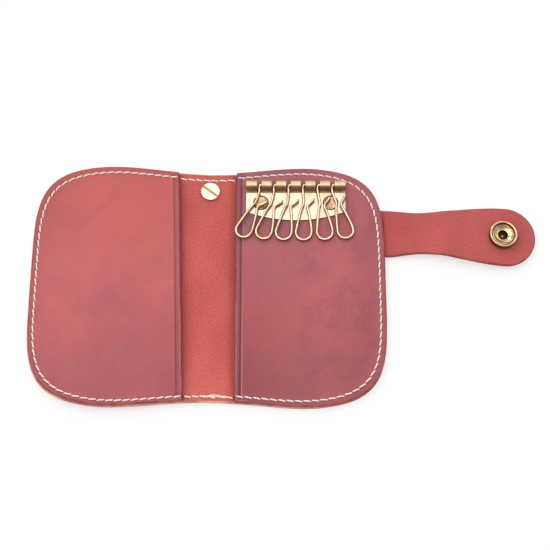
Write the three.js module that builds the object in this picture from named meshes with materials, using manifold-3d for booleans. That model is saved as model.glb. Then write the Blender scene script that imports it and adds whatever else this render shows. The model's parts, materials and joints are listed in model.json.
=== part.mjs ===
// Leather key and card holder that opens like a book: two pocketed covers, a spine between them,
// a closing strap with a press snap, and a brass key plate with six swinging wire hooks.
// Millimetres, +Z up. It lies open on a table at Z = 0, and the origin is the middle of the right cover's
// outer face. The right cover lies flat. The spine and the left cover rise a little towards the left,
// because the snap's stud is under the left cover, and the strap arches over to rest on its own cap.
import * as THREE from 'three';
import { mergeVertices } from 'three/addons/utils/BufferGeometryUtils.js';
import Module from 'manifold-3d';

// Leather
const COVER_WIDTH = 67.3;
const COVER_HEIGHT = 110.4;
const OUTLINE_POWER = 4.8;
const WAIST_DIP = 3.0;
const WAIST_REACH = 48;
const SPINE_WIDTH = 18.6;
const SHELL_THICKNESS = 2.0;
const PANEL_THICKNESS = 1.8;
const POCKET_ROOM = 1.2;
const EDGE_ROUND = 0.4;
const RIGHT_MOUTH = 2.4;
const LEFT_MOUTH = 2.3;
const LEFT_MOUTH_SLANT = 1.6;
const FOLD_GAP = 0.3;
const SEAT_GAP = 0.2;
const TABLE_GAP = 0.1;

// Sewing
const SEAM_INSET = 2.7;
const THREAD_RADIUS = 0.3;
const PANEL_RISE_START = 3.1;
const PANEL_RISE_END = 5.8;

// Strap
const STRAP_BEND_OUT = 1.0;
const STRAP_ROOT_Y = 24.1;
const STRAP_END_Y = 21.6;
const STRAP_ROOT_WIDTH = 21.6;
const STRAP_NECK_WIDTH = 19.0;
const STRAP_ROOT_FLARE = 14;
const STRAP_END_RADIUS = 13.4;
const STRAP_RISE_DEGREES = 9;
const SNAP_REACH = 25.6;
const SNAP_TO_END_CENTRE = 1.3;

// Press snap
const SOCKET_RADIUS = 6.1;
const SOCKET_HEIGHT = 3.2;
const SOCKET_DISH_RADIUS = 4.3;
const SOCKET_HOLE_RADIUS = 2.25;
const SOCKET_WEB = 0.35;
const SOCKET_RIM_ROUND = 0.8;
const SOCKET_LEAD_IN = 0.4;
const CAP_RADIUS = 6.3;
const CAP_HEIGHT = 2.0;
const SNAP_POST_RADIUS = 1.6;
const SNAP_POST_BORE = 1.0;
const STUD_FLANGE_RADIUS = 4.6;
const STUD_FLANGE = 0.5;
const STUD_HEIGHT = 3.0;
const STUD_HEAD = 1.0;
const STUD_ROUND = 0.5;
const STUD_NECK_IN = 0.25;
const STUD_CLEARANCE = 0.3;
const EYELET_RADIUS = 4.0;
const EYELET_FLANGE = 0.4;
const EYELET_POST_RADIUS = 1.0;
const HOLE_CLEARANCE = 0.2;

// Key plate and hooks
const HOOK_COUNT = 6;
const HOOK_PITCH = 6.42;
const PLATE_WIDTH = 43.7;
const PLATE_CENTRE_X = 28.5;
const PLATE_TOP_INSET = 10.6;
const PLATE_SIDE_DROP = 11.8;
const PLATE_DROP = 15.9;
const SHEET_THICKNESS = 0.7;
const ROLL_RADIUS = 2.4;
const ROLL_GAP = 0.08;
const SLOT_WIDTH = 1.9;
const SLOT_RUN_OUT = 0.3;
const WIRE_RADIUS = 0.6;
const WIRE_CLEARANCE = 0.2;
const HOOK_ARM = 3.3;
const HOOK_STRAIGHT = 2.9;
const HOOK_STEM = 9.6;
const HOOK_LENGTH = 25.3;
const HOOK_LOOP_LEFT = 3.55;
const HOOK_LOOP_RIGHT = 3.25;
const HOOK_LOOP_ROUND = 3.2;
const HOOK_SHOULDER_OUT = 3.05;
const HOOK_SHOULDER_DROP = 9.75;
const HOOK_GATE = 1.9;
const HOOK_TIP_OUT = 2.8;
const HOOK_TIP_UP = 3.1;
const HOOK_LEAN_DEGREES = [-20.2, -13, -6.2, 0.8, 9.2, 17.2];
const RIVET_SPREAD = 0.7;
const RIVET_DROP = 7.6;
const RIVET_HEAD_RADIUS = 3.1;
const RIVET_HEAD = 0.4;
const RIVET_SHANK_RADIUS = 1.4;
const RIVET_SET_RADIUS = 2.2;
const RIVET_SET = 0.3;
const WASHER_RADIUS = 3.6;
const WASHER_THICKNESS = 0.4;

// Spine screw
const SCREW_INSET = 8.6;
const SCREW_HEAD_RADIUS = 4.1;
const SCREW_HEAD = 0.9;
const SCREW_SHANK_RADIUS = 1.4;
const SCREW_SLOT_WIDTH = 0.9;
const SCREW_SLOT_DEPTH = 0.45;
const SCREW_SLOT_DEGREES = -37;
const POST_RADIUS = 2.4;
const POST_CAP_RADIUS = 4.6;
const POST_CAP = 0.8;
const POST_RECESS = 0.8;

// Facets
const OUTLINE_STEPS = 13;
const MOUTH_STEPS = 8;
const STRAP_STEPS = 8;
const ROUND_STEPS = 4;
const TURNED_SIDES = 20;
const WIRE_SIDES = 6;
const WIRE_STEPS = 60;
const THREAD_SIDES = 6;
const THREAD_STEPS = 78;
const WELD = 1e-4;

// Sizes worked out from those above
const HALF_HEIGHT = COVER_HEIGHT / 2;
const SEAM_TOP = SEAT_GAP + PANEL_THICKNESS;
const PANEL_TOP = SEAM_TOP + POCKET_ROOM;
const STRAP_BEND_X = COVER_WIDTH + STRAP_BEND_OUT;
const SNAP_STACK = SEAT_GAP + SOCKET_HEIGHT + STUD_CLEARANCE + STUD_FLANGE + SEAT_GAP;
const STRAP_NECK_LENGTH = SHELL_THICKNESS + SPINE_WIDTH + SNAP_STACK;
const STUD_X = STRAP_BEND_X - SNAP_REACH;
const STRAP_RISE = THREE.MathUtils.degToRad(STRAP_RISE_DEGREES);
const STRAP_END_CENTRE = STRAP_NECK_LENGTH + SNAP_REACH + SNAP_TO_END_CENTRE;
const SNAP_Y = strapCentreY(STRAP_NECK_LENGTH + SNAP_REACH);
const LEFT_RISE = restAngle(SPINE_WIDTH + STUD_X, SHELL_THICKNESS + SEAT_GAP + STUD_HEIGHT, SHELL_THICKNESS);
const STRAP_CREST = SHELL_THICKNESS + STRAP_NECK_LENGTH * Math.sin(STRAP_RISE);
const STRAP_END_RISE = restAngle(SNAP_REACH, SHELL_THICKNESS + SEAT_GAP + CAP_HEIGHT, STRAP_CREST);
const STRAP_CREST_BEND = STRAP_RISE - STRAP_END_RISE;
const STRAP_CREST_SETBACK = FOLD_GAP / 2 + SHELL_THICKNESS * Math.tan(STRAP_CREST_BEND / 2);
const PLATE_Y = HALF_HEIGHT - PLATE_TOP_INSET;
const ROLL_BORE = WIRE_RADIUS + WIRE_CLEARANCE;
const ROLL_PITCH = SHEET_THICKNESS + ROLL_GAP;
const ROLL_TURNS = (ROLL_RADIUS - SHEET_THICKNESS - ROLL_BORE) / ROLL_PITCH;

const wasm = await Module();
wasm.setup();

// Solids

// One indexed mesh with shared vertices, no flat triangles and its faces pointing out
function welded(geometry) {
  const bare = geometry.clone();
  bare.deleteAttribute('normal');
  bare.deleteAttribute('uv');
  const merged = mergeVertices(bare, WELD);
  const source = merged.index.array;
  const position = merged.attributes.position;
  const triangles = [];
  const corner = [new THREE.Vector3(), new THREE.Vector3(), new THREE.Vector3()];
  let volume = 0;
  for (let i = 0; i < source.length; i += 3) {
    const [a, b, c] = [source[i], source[i + 1], source[i + 2]];
    if (a === b || b === c || c === a) continue;
    triangles.push(a, b, c);
    corner[0].fromBufferAttribute(position, a);
    corner[1].fromBufferAttribute(position, b);
    corner[2].fromBufferAttribute(position, c);
    volume += corner[0].dot(corner[1].cross(corner[2]));
  }
  merged.setIndex(volume < 0 ? triangles.reverse() : triangles);
  return merged;
}

function toSolid(geometry) {
  const mesh = welded(geometry);
  const vertProperties = Float32Array.from(mesh.attributes.position.array);
  const triVerts = Uint32Array.from(mesh.index.array);
  return new wasm.Manifold(new wasm.Mesh({ numProp: 3, vertProperties, triVerts }));
}

function toGeometry(solid) {
  const mesh = solid.getMesh();
  const geometry = new THREE.BufferGeometry();
  geometry.setAttribute('position', new THREE.BufferAttribute(Float32Array.from(mesh.vertProperties), 3));
  geometry.setIndex(Array.from(mesh.triVerts));
  return geometry;
}

function cut(geometry, ...tools) {
  return toGeometry(tools.reduce((solid, tool) => solid.subtract(toSolid(tool)), toSolid(geometry)));
}

function join(first, second) {
  return toGeometry(toSolid(first).add(toSolid(second)));
}

function common(first, second) {
  return toGeometry(toSolid(first).intersect(toSolid(second)));
}

// A body of revolution about Z from a profile of [radius, height] pairs
function turned(profile) {
  const points = profile.map(([radius, height]) => new THREE.Vector2(radius, height));
  const geometry = new THREE.LatheGeometry(points, TURNED_SIDES);
  geometry.rotateX(Math.PI / 2);
  return welded(geometry);
}

function ring(profile) {
  return turned([...profile, profile[0]]);
}

function ellipsePoints(x, y, halfWidth, halfHeight, from, to, steps) {
  const curve = new THREE.EllipseCurve(x, y, halfWidth, halfHeight, from, to);
  return curve.getPoints(steps).map((point) => [point.x, point.y]);
}

// A round punch along Z between two heights
function punch(x, y, radius, low, high) {
  const tool = new THREE.CylinderGeometry(radius, radius, high - low, TURNED_SIDES);
  tool.rotateX(Math.PI / 2);
  tool.translate(x, y, (low + high) / 2);
  return tool;
}

// A punch right through the leather or the plate, a little wider than what passes through it
function clearHole(x, y, radius) {
  return punch(x, y, radius + HOLE_CLEARANCE, -2 * SHELL_THICKNESS, 2 * PANEL_TOP);
}

function slab(shape, low, high) {
  const geometry = new THREE.ExtrudeGeometry(shape, { depth: high - low, bevelEnabled: false });
  geometry.translate(0, 0, low);
  return geometry;
}

// A slab of leather with rounded edges between two heights
function roundedSlab(shape, low, high) {
  const geometry = new THREE.ExtrudeGeometry(shape, {
    depth: high - low - 2 * EDGE_ROUND,
    bevelThickness: EDGE_ROUND,
    bevelSize: EDGE_ROUND,
    bevelOffset: -EDGE_ROUND,
    bevelSegments: 1,
  });
  geometry.translate(0, 0, low + EDGE_ROUND);
  return geometry;
}

function tube(curve, radius, steps, sides) {
  const section = new THREE.Shape().absarc(0, 0, radius, 0, 2 * Math.PI);
  const options = { steps, extrudePath: curve, curveSegments: sides / 2 };
  return welded(new THREE.ExtrudeGeometry(section, options));
}

// A closed sheet from rings of equal count: the first and last rings are closed over their own centres
function sheetFromRings(rings) {
  const count = rings[0].length;
  const points = rings.flat();
  const triangles = [];
  for (let level = 0; level + 1 < rings.length; level += 1) {
    for (let i = 0; i < count; i += 1) {
      const next = (i + 1) % count;
      const [a, b] = [level * count + i, level * count + next];
      triangles.push(a, b, b + count, a, b + count, a + count);
    }
  }
  for (const level of [0, rings.length - 1]) {
    const centre = new THREE.Vector3();
    rings[level].forEach((point) => centre.addScaledVector(point, 1 / count));
    points.push(centre);
    for (let i = 0; i < count; i += 1) {
      const [a, b] = [level * count + i, level * count + ((i + 1) % count)];
      triangles.push(points.length - 1, level === 0 ? b : a, level === 0 ? a : b);
    }
  }
  const geometry = new THREE.BufferGeometry().setFromPoints(points);
  geometry.setIndex(triangles);
  return welded(geometry);
}

function mirrored(geometry) {
  return welded(geometry.clone().scale(-1, 1, 1));
}

// Outline of the leather

// How far the top and bottom edges dip at a distance from the middle of the spine
function waistDip(fromSpineMiddle) {
  const share = Math.min(fromSpineMiddle / WAIST_REACH, 1);
  return WAIST_DIP * (1 + Math.cos(Math.PI * share)) / 2;
}

// Half of the leather's height at a distance x from a fold, and the far edge's x at a height y
function edgeY(x) {
  const share = Math.min(Math.max(x / COVER_WIDTH, 0), 1);
  const round = (1 - share ** OUTLINE_POWER) ** (1 / OUTLINE_POWER);
  return HALF_HEIGHT * round - waistDip(SPINE_WIDTH / 2 + x);
}

function edgeX(y) {
  const share = Math.min(Math.abs(y) / HALF_HEIGHT, 1);
  return COVER_WIDTH * (1 - share ** OUTLINE_POWER) ** (1 / OUTLINE_POWER);
}

// The sewn edge of a cover, from its bottom end at the mouth round to its top end, drawn in by an inset
function sewnEdge(inset, mouthAt) {
  const half = [];
  const width = COVER_WIDTH - inset;
  for (let i = 0; i <= OUTLINE_STEPS; i += 1) {
    const angle = (Math.PI / 2) * (i / OUTLINE_STEPS);
    const share = Math.cos(angle) ** (2 / OUTLINE_POWER);
    const rise = Math.sin(angle) ** (2 / OUTLINE_POWER);
    const x = i === OUTLINE_STEPS ? 0 : width * share;
    half.push([x, (HALF_HEIGHT - inset) * rise - waistDip(SPINE_WIDTH / 2 + x) * rise]);
  }
  const top = half.map(([x, y]) => [Math.max(x, mouthAt(y)), y]);
  const bottom = half.slice(1).reverse().map(([x, y]) => [Math.max(x, mouthAt(-y)), -y]);
  return [...bottom, ...top];
}

// A whole ring of a cover or panel: its sewn edge, then back down along its mouth
function coverRing(inset, mouthInset, mouthAt, heightAt) {
  const insideMouth = (y) => mouthAt(y) + mouthInset;
  const edge = sewnEdge(inset, insideMouth);
  const top = edge[edge.length - 1][1];
  const bottom = edge[0][1];
  for (let i = 1; i < MOUTH_STEPS; i += 1) {
    const y = THREE.MathUtils.lerp(top, bottom, i / MOUTH_STEPS);
    edge.push([insideMouth(y), y]);
  }
  return edge.map(([x, y]) => new THREE.Vector3(x, y, heightAt(x, y)));
}

// How far a panel stands off the shell, from nothing at its seam to the pocket's room inside
function pocketRise(x, y) {
  const below = Math.max(edgeY(x) - Math.abs(y), 0);
  const inside = Math.max(edgeX(y) - x, 0);
  const fromSeam = below * inside / Math.max(Math.hypot(below, inside), EDGE_ROUND);
  return POCKET_ROOM * THREE.MathUtils.smoothstep(fromSeam, PANEL_RISE_START, PANEL_RISE_END);
}

function cover() {
  const mouthAt = () => FOLD_GAP / 2;
  const level = (inset, height) => coverRing(inset, inset, mouthAt, () => height);
  return sheetFromRings([
    level(EDGE_ROUND, -SHELL_THICKNESS),
    level(0, EDGE_ROUND - SHELL_THICKNESS),
    level(0, -EDGE_ROUND),
    level(EDGE_ROUND, 0),
  ]);
}

function pocketPanel(mouthAt) {
  const insets = [EDGE_ROUND, PANEL_RISE_START, (PANEL_RISE_START + PANEL_RISE_END) / 2, PANEL_RISE_END];
  const level = (inset, base) => {
    return coverRing(inset, inset, mouthAt, (x, y) => base + pocketRise(x, y));
  };
  return sheetFromRings([
    ...insets.toReversed().map((inset) => level(inset, SEAT_GAP)),
    level(0, SEAT_GAP + EDGE_ROUND),
    level(0, SEAM_TOP - EDGE_ROUND),
    ...insets.map((inset) => level(inset, SEAM_TOP)),
  ]);
}

function rightMouth() {
  return RIGHT_MOUTH;
}

function leftMouth(y) {
  return LEFT_MOUTH + LEFT_MOUTH_SLANT * (y / HALF_HEIGHT);
}

// Sewing thread along a panel's three closed sides, lying on the leather
function seamThread(mouthAt) {
  const height = SEAM_TOP + THREAD_RADIUS + SEAT_GAP;
  const points = sewnEdge(SEAM_INSET, (y) => mouthAt(y) + SEAM_INSET / 2);
  const curve = new THREE.CatmullRomCurve3(
    points.map(([x, y]) => new THREE.Vector3(x, y, height + pocketRise(x, y))),
  );
  return tube(curve, THREAD_RADIUS, THREAD_STEPS, THREAD_SIDES);
}

// Strap

function strapCentreY(along) {
  return THREE.MathUtils.mapLinear(along, 0, STRAP_END_CENTRE, STRAP_ROOT_Y, STRAP_END_Y);
}

function strapHalfWidth(along) {
  const root = 1 - THREE.MathUtils.smoothstep(along, 0, STRAP_ROOT_FLARE);
  const end = THREE.MathUtils.smoothstep(along, STRAP_ROOT_FLARE, STRAP_END_CENTRE);
  const neck = STRAP_NECK_WIDTH / 2;
  return neck + root * (STRAP_ROOT_WIDTH / 2 - neck) + end * (STRAP_END_RADIUS - neck);
}

// The strap's outline between two places along it, measured from its first bend
function strapShape(from, to, roundEnd) {
  const edge = (side) => Array.from({ length: STRAP_STEPS + 1 }, (_, i) => {
    const along = THREE.MathUtils.lerp(from, to, i / STRAP_STEPS);
    return [along, strapCentreY(along) + side * strapHalfWidth(along)];
  });
  const outline = edge(-1);
  if (roundEnd) {
    const radius = STRAP_END_RADIUS;
    const [start, end] = [-Math.PI / 2, Math.PI / 2];
    const turn = ellipsePoints(to, strapCentreY(to), radius, radius, start, end, OUTLINE_STEPS);
    outline.push(...turn.slice(1, -1));
  }
  outline.push(...edge(1).reverse());
  return new THREE.Shape(outline.map(([x, y]) => new THREE.Vector2(x, y)));
}

function strapNeck() {
  const shape = strapShape(FOLD_GAP / 2, STRAP_NECK_LENGTH - STRAP_CREST_SETBACK, false);
  return roundedSlab(shape, -SHELL_THICKNESS, 0);
}

function strapEnd() {
  const shape = strapShape(STRAP_NECK_LENGTH + STRAP_CREST_SETBACK, STRAP_END_CENTRE, true);
  const postHole = clearHole(STRAP_NECK_LENGTH + SNAP_REACH, SNAP_Y, SNAP_POST_RADIUS);
  const end = cut(roundedSlab(shape, -SHELL_THICKNESS, 0), postHole);
  return end.translate(-STRAP_NECK_LENGTH, 0, 0);
}

// The right cover with the short tongue that runs out under its panel's edge into the strap
function rightCover() {
  const tongue = strapShape(-SNAP_REACH / 2, -FOLD_GAP / 2, false);
  const tongueSlab = roundedSlab(tongue, -SHELL_THICKNESS, 0).translate(STRAP_BEND_X, 0, 0);
  return join(cover(), tongueSlab);
}

function leftCover() {
  return mirrored(cut(cover(), clearHole(STUD_X, SNAP_Y, EYELET_POST_RADIUS)));
}

function spine() {
  const [from, to] = [FOLD_GAP / 2, SPINE_WIDTH - FOLD_GAP / 2];
  const topY = (x) => HALF_HEIGHT - waistDip(Math.abs(SPINE_WIDTH / 2 - x));
  const top = Array.from({ length: MOUTH_STEPS + 1 }, (_, i) => {
    const x = THREE.MathUtils.lerp(from, to, i / MOUTH_STEPS);
    return new THREE.Vector2(-x, topY(x));
  });
  const bottom = top.toReversed().map((point) => new THREE.Vector2(point.x, -point.y));
  const [x, y] = [-SPINE_WIDTH / 2, screwY()];
  const recessRadius = POST_CAP_RADIUS + HOLE_CLEARANCE;
  return cut(
    roundedSlab(new THREE.Shape([...top, ...bottom]), -SHELL_THICKNESS, 0),
    clearHole(x, y, POST_RADIUS),
    punch(x, y, recessRadius, -2 * SHELL_THICKNESS, POST_RECESS - SHELL_THICKNESS),
  );
}

// A straight run of thread across the spine, near its top or bottom edge
function spineThread(side) {
  const y = side * (HALF_HEIGHT - waistDip(0) - SEAM_INSET);
  const height = THREAD_RADIUS + SEAT_GAP;
  const setBack = FOLD_GAP + THREAD_RADIUS;
  const start = new THREE.Vector3(-setBack, y, height);
  const end = new THREE.Vector3(setBack - SPINE_WIDTH, y, height);
  return tube(new THREE.LineCurve3(start, end), THREAD_RADIUS, 1, THREAD_SIDES);
}

// Spine screw

function screwY() {
  return HALF_HEIGHT - waistDip(0) - SCREW_INSET;
}

function spineScrew() {
  const shankEnd = POST_RECESS - SHELL_THICKNESS + SEAT_GAP;
  const top = SEAT_GAP + SCREW_HEAD;
  const body = turned([
    [0, shankEnd],
    [SCREW_SHANK_RADIUS, shankEnd],
    [SCREW_SHANK_RADIUS, SEAT_GAP],
    [SCREW_HEAD_RADIUS, SEAT_GAP],
    [SCREW_HEAD_RADIUS, top - SCREW_SLOT_DEPTH / 2],
    [SCREW_HEAD_RADIUS - SCREW_SLOT_DEPTH / 2, top],
    [0, top],
  ]);
  const slot = new THREE.BoxGeometry(3 * SCREW_HEAD_RADIUS, SCREW_SLOT_WIDTH, 2 * SCREW_SLOT_DEPTH);
  slot.rotateZ(THREE.MathUtils.degToRad(SCREW_SLOT_DEGREES));
  slot.translate(0, 0, top);
  return cut(body, slot);
}

// The post's cap lies in a recess pressed into the spine's outer face, and its bore takes the screw
function screwPost() {
  const seat = POST_RECESS - SHELL_THICKNESS - SEAT_GAP;
  const bore = SCREW_SHANK_RADIUS + HOLE_CLEARANCE;
  return turned([
    [0, seat - POST_CAP],
    [POST_CAP_RADIUS - EDGE_ROUND, seat - POST_CAP],
    [POST_CAP_RADIUS, seat - POST_CAP + EDGE_ROUND],
    [POST_CAP_RADIUS, seat],
    [POST_RADIUS, seat],
    [POST_RADIUS, 0],
    [bore, 0],
    [bore, seat],
    [0, seat],
  ]);
}

// Press snap, about its own axis, with the strap's inner face at height 0

function snapSocket() {
  const base = SEAT_GAP;
  const top = base + SOCKET_HEIGHT;
  const shelf = base + SOCKET_HEIGHT / 2;
  const web = SNAP_POST_RADIUS + HOLE_CLEARANCE;
  const half = (SOCKET_RADIUS - SOCKET_DISH_RADIUS) / 2;
  const crest = SOCKET_RADIUS - half;
  const round = SOCKET_RIM_ROUND;
  return ring([
    [web, base],
    [SOCKET_RADIUS - EDGE_ROUND, base],
    [SOCKET_RADIUS, base + EDGE_ROUND],
    ...ellipsePoints(crest, top - round, half, round, 0, Math.PI, ROUND_STEPS),
    [SOCKET_DISH_RADIUS, shelf],
    [SOCKET_HOLE_RADIUS + SOCKET_LEAD_IN, shelf],
    [SOCKET_HOLE_RADIUS, shelf - SOCKET_LEAD_IN],
    [SOCKET_HOLE_RADIUS, base + SOCKET_WEB],
    [web, base + SOCKET_WEB],
  ]);
}

// Domed cap on the strap's outer face; its hollow post is flared over the socket's web
function snapCap() {
  const seat = -SHELL_THICKNESS - SEAT_GAP;
  const web = SEAT_GAP + SOCKET_WEB;
  const flare = web + HOLE_CLEARANCE / 2;
  const flareRadius = SOCKET_HOLE_RADIUS - HOLE_CLEARANCE;
  return turned([
    [0, seat - CAP_HEIGHT],
    ...ellipsePoints(0, seat, CAP_RADIUS, CAP_HEIGHT, -Math.PI / 2, 0, ROUND_STEPS).slice(1),
    [SNAP_POST_RADIUS, seat],
    [SNAP_POST_RADIUS, flare],
    [flareRadius, flare],
    [flareRadius, flare + SEAT_GAP],
    [SNAP_POST_BORE, flare + SEAT_GAP],
    [SNAP_POST_BORE, seat + SEAT_GAP],
    [0, seat + SEAT_GAP],
  ]);
}

// Stud on the left cover's outer face, pointing down, bored for its eyelet's post
function snapStud() {
  const base = -SHELL_THICKNESS - SEAT_GAP;
  const tip = base - STUD_HEIGHT;
  const flange = base - STUD_FLANGE;
  const head = SOCKET_HOLE_RADIUS - STUD_CLEARANCE;
  const neck = head - STUD_NECK_IN;
  const bore = EYELET_POST_RADIUS + HOLE_CLEARANCE;
  return turned([
    [0, tip],
    [head - STUD_ROUND, tip],
    [head, tip + STUD_ROUND],
    [head, tip + STUD_HEAD],
    [neck, tip + STUD_HEAD + STUD_NECK_IN],
    [neck, flange],
    [STUD_FLANGE_RADIUS - STUD_FLANGE / 2, flange],
    [STUD_FLANGE_RADIUS, flange + STUD_FLANGE / 2],
    [STUD_FLANGE_RADIUS, base],
    [bore, base],
    [bore, tip + STUD_HEAD],
    [0, tip + STUD_HEAD],
  ]);
}

function studEyelet() {
  const end = -SHELL_THICKNESS - STUD_HEIGHT / 2;
  return turned([
    [0, end],
    [EYELET_POST_RADIUS, end],
    [EYELET_POST_RADIUS, SEAT_GAP],
    [EYELET_RADIUS, SEAT_GAP],
    [EYELET_RADIUS, SEAT_GAP + EYELET_FLANGE / 2],
    [EYELET_RADIUS - EYELET_FLANGE, SEAT_GAP + EYELET_FLANGE],
    [0, SEAT_GAP + EYELET_FLANGE],
  ]);
}

// Key plate: x along the barrels from the plate's middle, y from the barrels' axis, z from its underside

// Side view of the sheet: flat, then rolled inward round the wire for a number of turns
function rolledProfile() {
  const steps = Math.ceil(TURNED_SIDES * ROLL_TURNS);
  const outer = [];
  const inner = [];
  for (let i = 0; i <= steps; i += 1) {
    const turn = ROLL_TURNS * (i / steps);
    const angle = -Math.PI / 2 + 2 * Math.PI * turn;
    const radius = ROLL_RADIUS - ROLL_PITCH * turn;
    const direction = new THREE.Vector2(Math.cos(angle), Math.sin(angle));
    const centre = new THREE.Vector2(0, ROLL_RADIUS);
    outer.push(centre.clone().addScaledVector(direction, radius));
    inner.push(centre.clone().addScaledVector(direction, radius - SHEET_THICKNESS));
  }
  const flatEnd = -2 * PLATE_DROP;
  const flat = [new THREE.Vector2(flatEnd, SHEET_THICKNESS), new THREE.Vector2(flatEnd, 0)];
  return new THREE.Shape().setFromPoints([...outer, ...inner.reverse(), ...flat]);
}

// Plan of the plate: straight sides and a shallow arc along its lower edge
function platePlan() {
  const half = PLATE_WIDTH / 2;
  const sag = PLATE_DROP - PLATE_SIDE_DROP;
  const radius = (half * half + sag * sag) / (2 * sag);
  const spread = Math.asin(half / radius);
  const shape = new THREE.Shape();
  shape.moveTo(half, 2 * ROLL_RADIUS);
  shape.lineTo(-half, 2 * ROLL_RADIUS);
  shape.absarc(0, radius - PLATE_DROP, radius, -Math.PI / 2 - spread, -Math.PI / 2 + spread, false);
  shape.closePath();
  return shape;
}

function slotX(index) {
  return (index - (HOOK_COUNT - 1) / 2) * HOOK_PITCH;
}

// The rivets keep their share of the plate's width
function rivetX(side) {
  return side * RIVET_SPREAD * PLATE_WIDTH / 2;
}

function keyPlate() {
  const rolled = slab(rolledProfile(), 0, 2 * PLATE_WIDTH);
  rolled.rotateY(Math.PI / 2);
  rolled.rotateX(Math.PI / 2);
  rolled.translate(-PLATE_WIDTH, 0, 0);
  const plan = slab(platePlan(), -ROLL_RADIUS, 3 * ROLL_RADIUS);
  const tools = [];
  const slotReach = ROLL_RADIUS + SLOT_RUN_OUT;
  for (let i = 0; i < HOOK_COUNT; i += 1) {
    const slot = new THREE.BoxGeometry(SLOT_WIDTH, 2 * slotReach, 4 * ROLL_RADIUS);
    tools.push(slot.translate(slotX(i), 0, ROLL_RADIUS));
  }
  for (const side of [-1, 1]) {
    const recess = SHEET_THICKNESS - RIVET_HEAD;
    const recessRadius = RIVET_HEAD_RADIUS + HOLE_CLEARANCE;
    tools.push(punch(rivetX(side), -RIVET_DROP, recessRadius, recess, 2 * SHEET_THICKNESS));
    tools.push(clearHole(rivetX(side), -RIVET_DROP, RIVET_SHANK_RADIUS));
  }
  return cut(common(rolled, plan), ...tools);
}

// Sprung wire hook about its barrel's axis: an arm in the barrel, a stem, a leaning loop and a flared tip
function keyHook(lean) {
  const angle = THREE.MathUtils.degToRad(lean);
  const turnedBy = (x, y) => new THREE.Vector3(
    x * Math.cos(angle) - (y + HOOK_STRAIGHT) * Math.sin(angle),
    x * Math.sin(angle) + (y + HOOK_STRAIGHT) * Math.cos(angle) - HOOK_STRAIGHT,
    0,
  );
  const bend = WIRE_RADIUS;
  const middle = (HOOK_LOOP_RIGHT - HOOK_LOOP_LEFT) / 2;
  const half = (HOOK_LOOP_RIGHT + HOOK_LOOP_LEFT) / 2;
  const round = HOOK_LOOP_ROUND;
  const loop = ellipsePoints(middle, round - HOOK_LENGTH, half, round, Math.PI, 2 * Math.PI, ROUND_STEPS);
  const points = [
    new THREE.Vector3(HOOK_ARM, 0, 0),
    new THREE.Vector3(HOOK_ARM / 2, 0, 0),
    new THREE.Vector3(bend, 0, 0),
    new THREE.Vector3(0, -bend, 0),
    new THREE.Vector3(0, -HOOK_STRAIGHT, 0),
    turnedBy(0, bend - HOOK_STEM),
    turnedBy(-bend, -bend - HOOK_STEM),
    turnedBy(-HOOK_SHOULDER_OUT, -HOOK_STEM - HOOK_SHOULDER_DROP),
    ...loop.map(([x, y]) => turnedBy(x, y)),
    turnedBy((HOOK_LOOP_RIGHT + HOOK_GATE) / 2, -HOOK_STEM - HOOK_SHOULDER_DROP / 2),
    turnedBy(HOOK_GATE, -HOOK_STEM),
    turnedBy(HOOK_GATE + HOOK_TIP_OUT / 2, HOOK_TIP_UP / 2 - HOOK_STEM),
    turnedBy(HOOK_GATE + HOOK_TIP_OUT, HOOK_TIP_UP - HOOK_STEM),
  ];
  return tube(new THREE.CatmullRomCurve3(points), WIRE_RADIUS, WIRE_STEPS, WIRE_SIDES);
}

// How far the hooks dip at rest, lying on the plate's lower edge
function hookDip() {
  const fall = ROLL_RADIUS - SHEET_THICKNESS - WIRE_RADIUS - SEAT_GAP;
  return Math.atan2(fall, PLATE_DROP);
}

// Rivet about its own axis, with the plate's underside at height 0: head, shank and set end
function plateRivet() {
  const head = SHEET_THICKNESS - RIVET_HEAD + SEAT_GAP / 2;
  const set = -PANEL_THICKNESS - SEAT_GAP - WASHER_THICKNESS - SEAT_GAP / 2;
  return turned([
    [0, set - RIVET_SET],
    [RIVET_SET_RADIUS, set - RIVET_SET],
    [RIVET_SET_RADIUS, set],
    [RIVET_SHANK_RADIUS, set],
    [RIVET_SHANK_RADIUS, head],
    [RIVET_HEAD_RADIUS, head],
    [RIVET_HEAD_RADIUS - RIVET_HEAD / 2, head + RIVET_HEAD],
    [0, head + RIVET_HEAD],
  ]);
}

function rivetWasher() {
  const top = -PANEL_THICKNESS - SEAT_GAP;
  const bore = RIVET_SHANK_RADIUS + HOLE_CLEARANCE;
  return ring([
    [bore, top - WASHER_THICKNESS],
    [WASHER_RADIUS, top - WASHER_THICKNESS],
    [WASHER_RADIUS, top],
    [bore, top],
  ]);
}

function rightPanel() {
  const y = PLATE_Y - RIVET_DROP;
  const holes = [-1, 1].map((side) => clearHole(PLATE_CENTRE_X + rivetX(side), y, RIVET_SHANK_RADIUS));
  return cut(pocketPanel(rightMouth), ...holes);
}

// The angle at which a point, so far along from a bend and so far below it, comes down to the table
function restAngle(along, below, bendHeight) {
  return Math.atan2(below, along) - Math.asin((bendHeight - TABLE_GAP) / Math.hypot(along, below));
}

// Materials

function finish(color, roughness, metalness) {
  return () => new THREE.MeshStandardMaterial({ color, roughness, metalness });
}

const smoothLeather = finish(0xa83f45, 0.42, 0);
const suede = finish(0xb84a48, 0.9, 0);
const brass = finish(0xd8b878, 0.32, 1);
const wireBrass = finish(0xcfae72, 0.38, 1);
const copperBrass = finish(0xb88a5c, 0.4, 1);
const thread = finish(0xefe3cf, 0.85, 0);

// Assembly

function piece(parent, name, geometry, material) {
  const mesh = new THREE.Mesh(geometry, material());
  mesh.name = name;
  parent.add(mesh);
  return mesh;
}

function frame(parent, x, y, z, turnY = 0) {
  const group = new THREE.Group();
  group.position.set(x, y, z);
  group.rotation.y = turnY;
  parent.add(group);
  return group;
}

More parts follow.
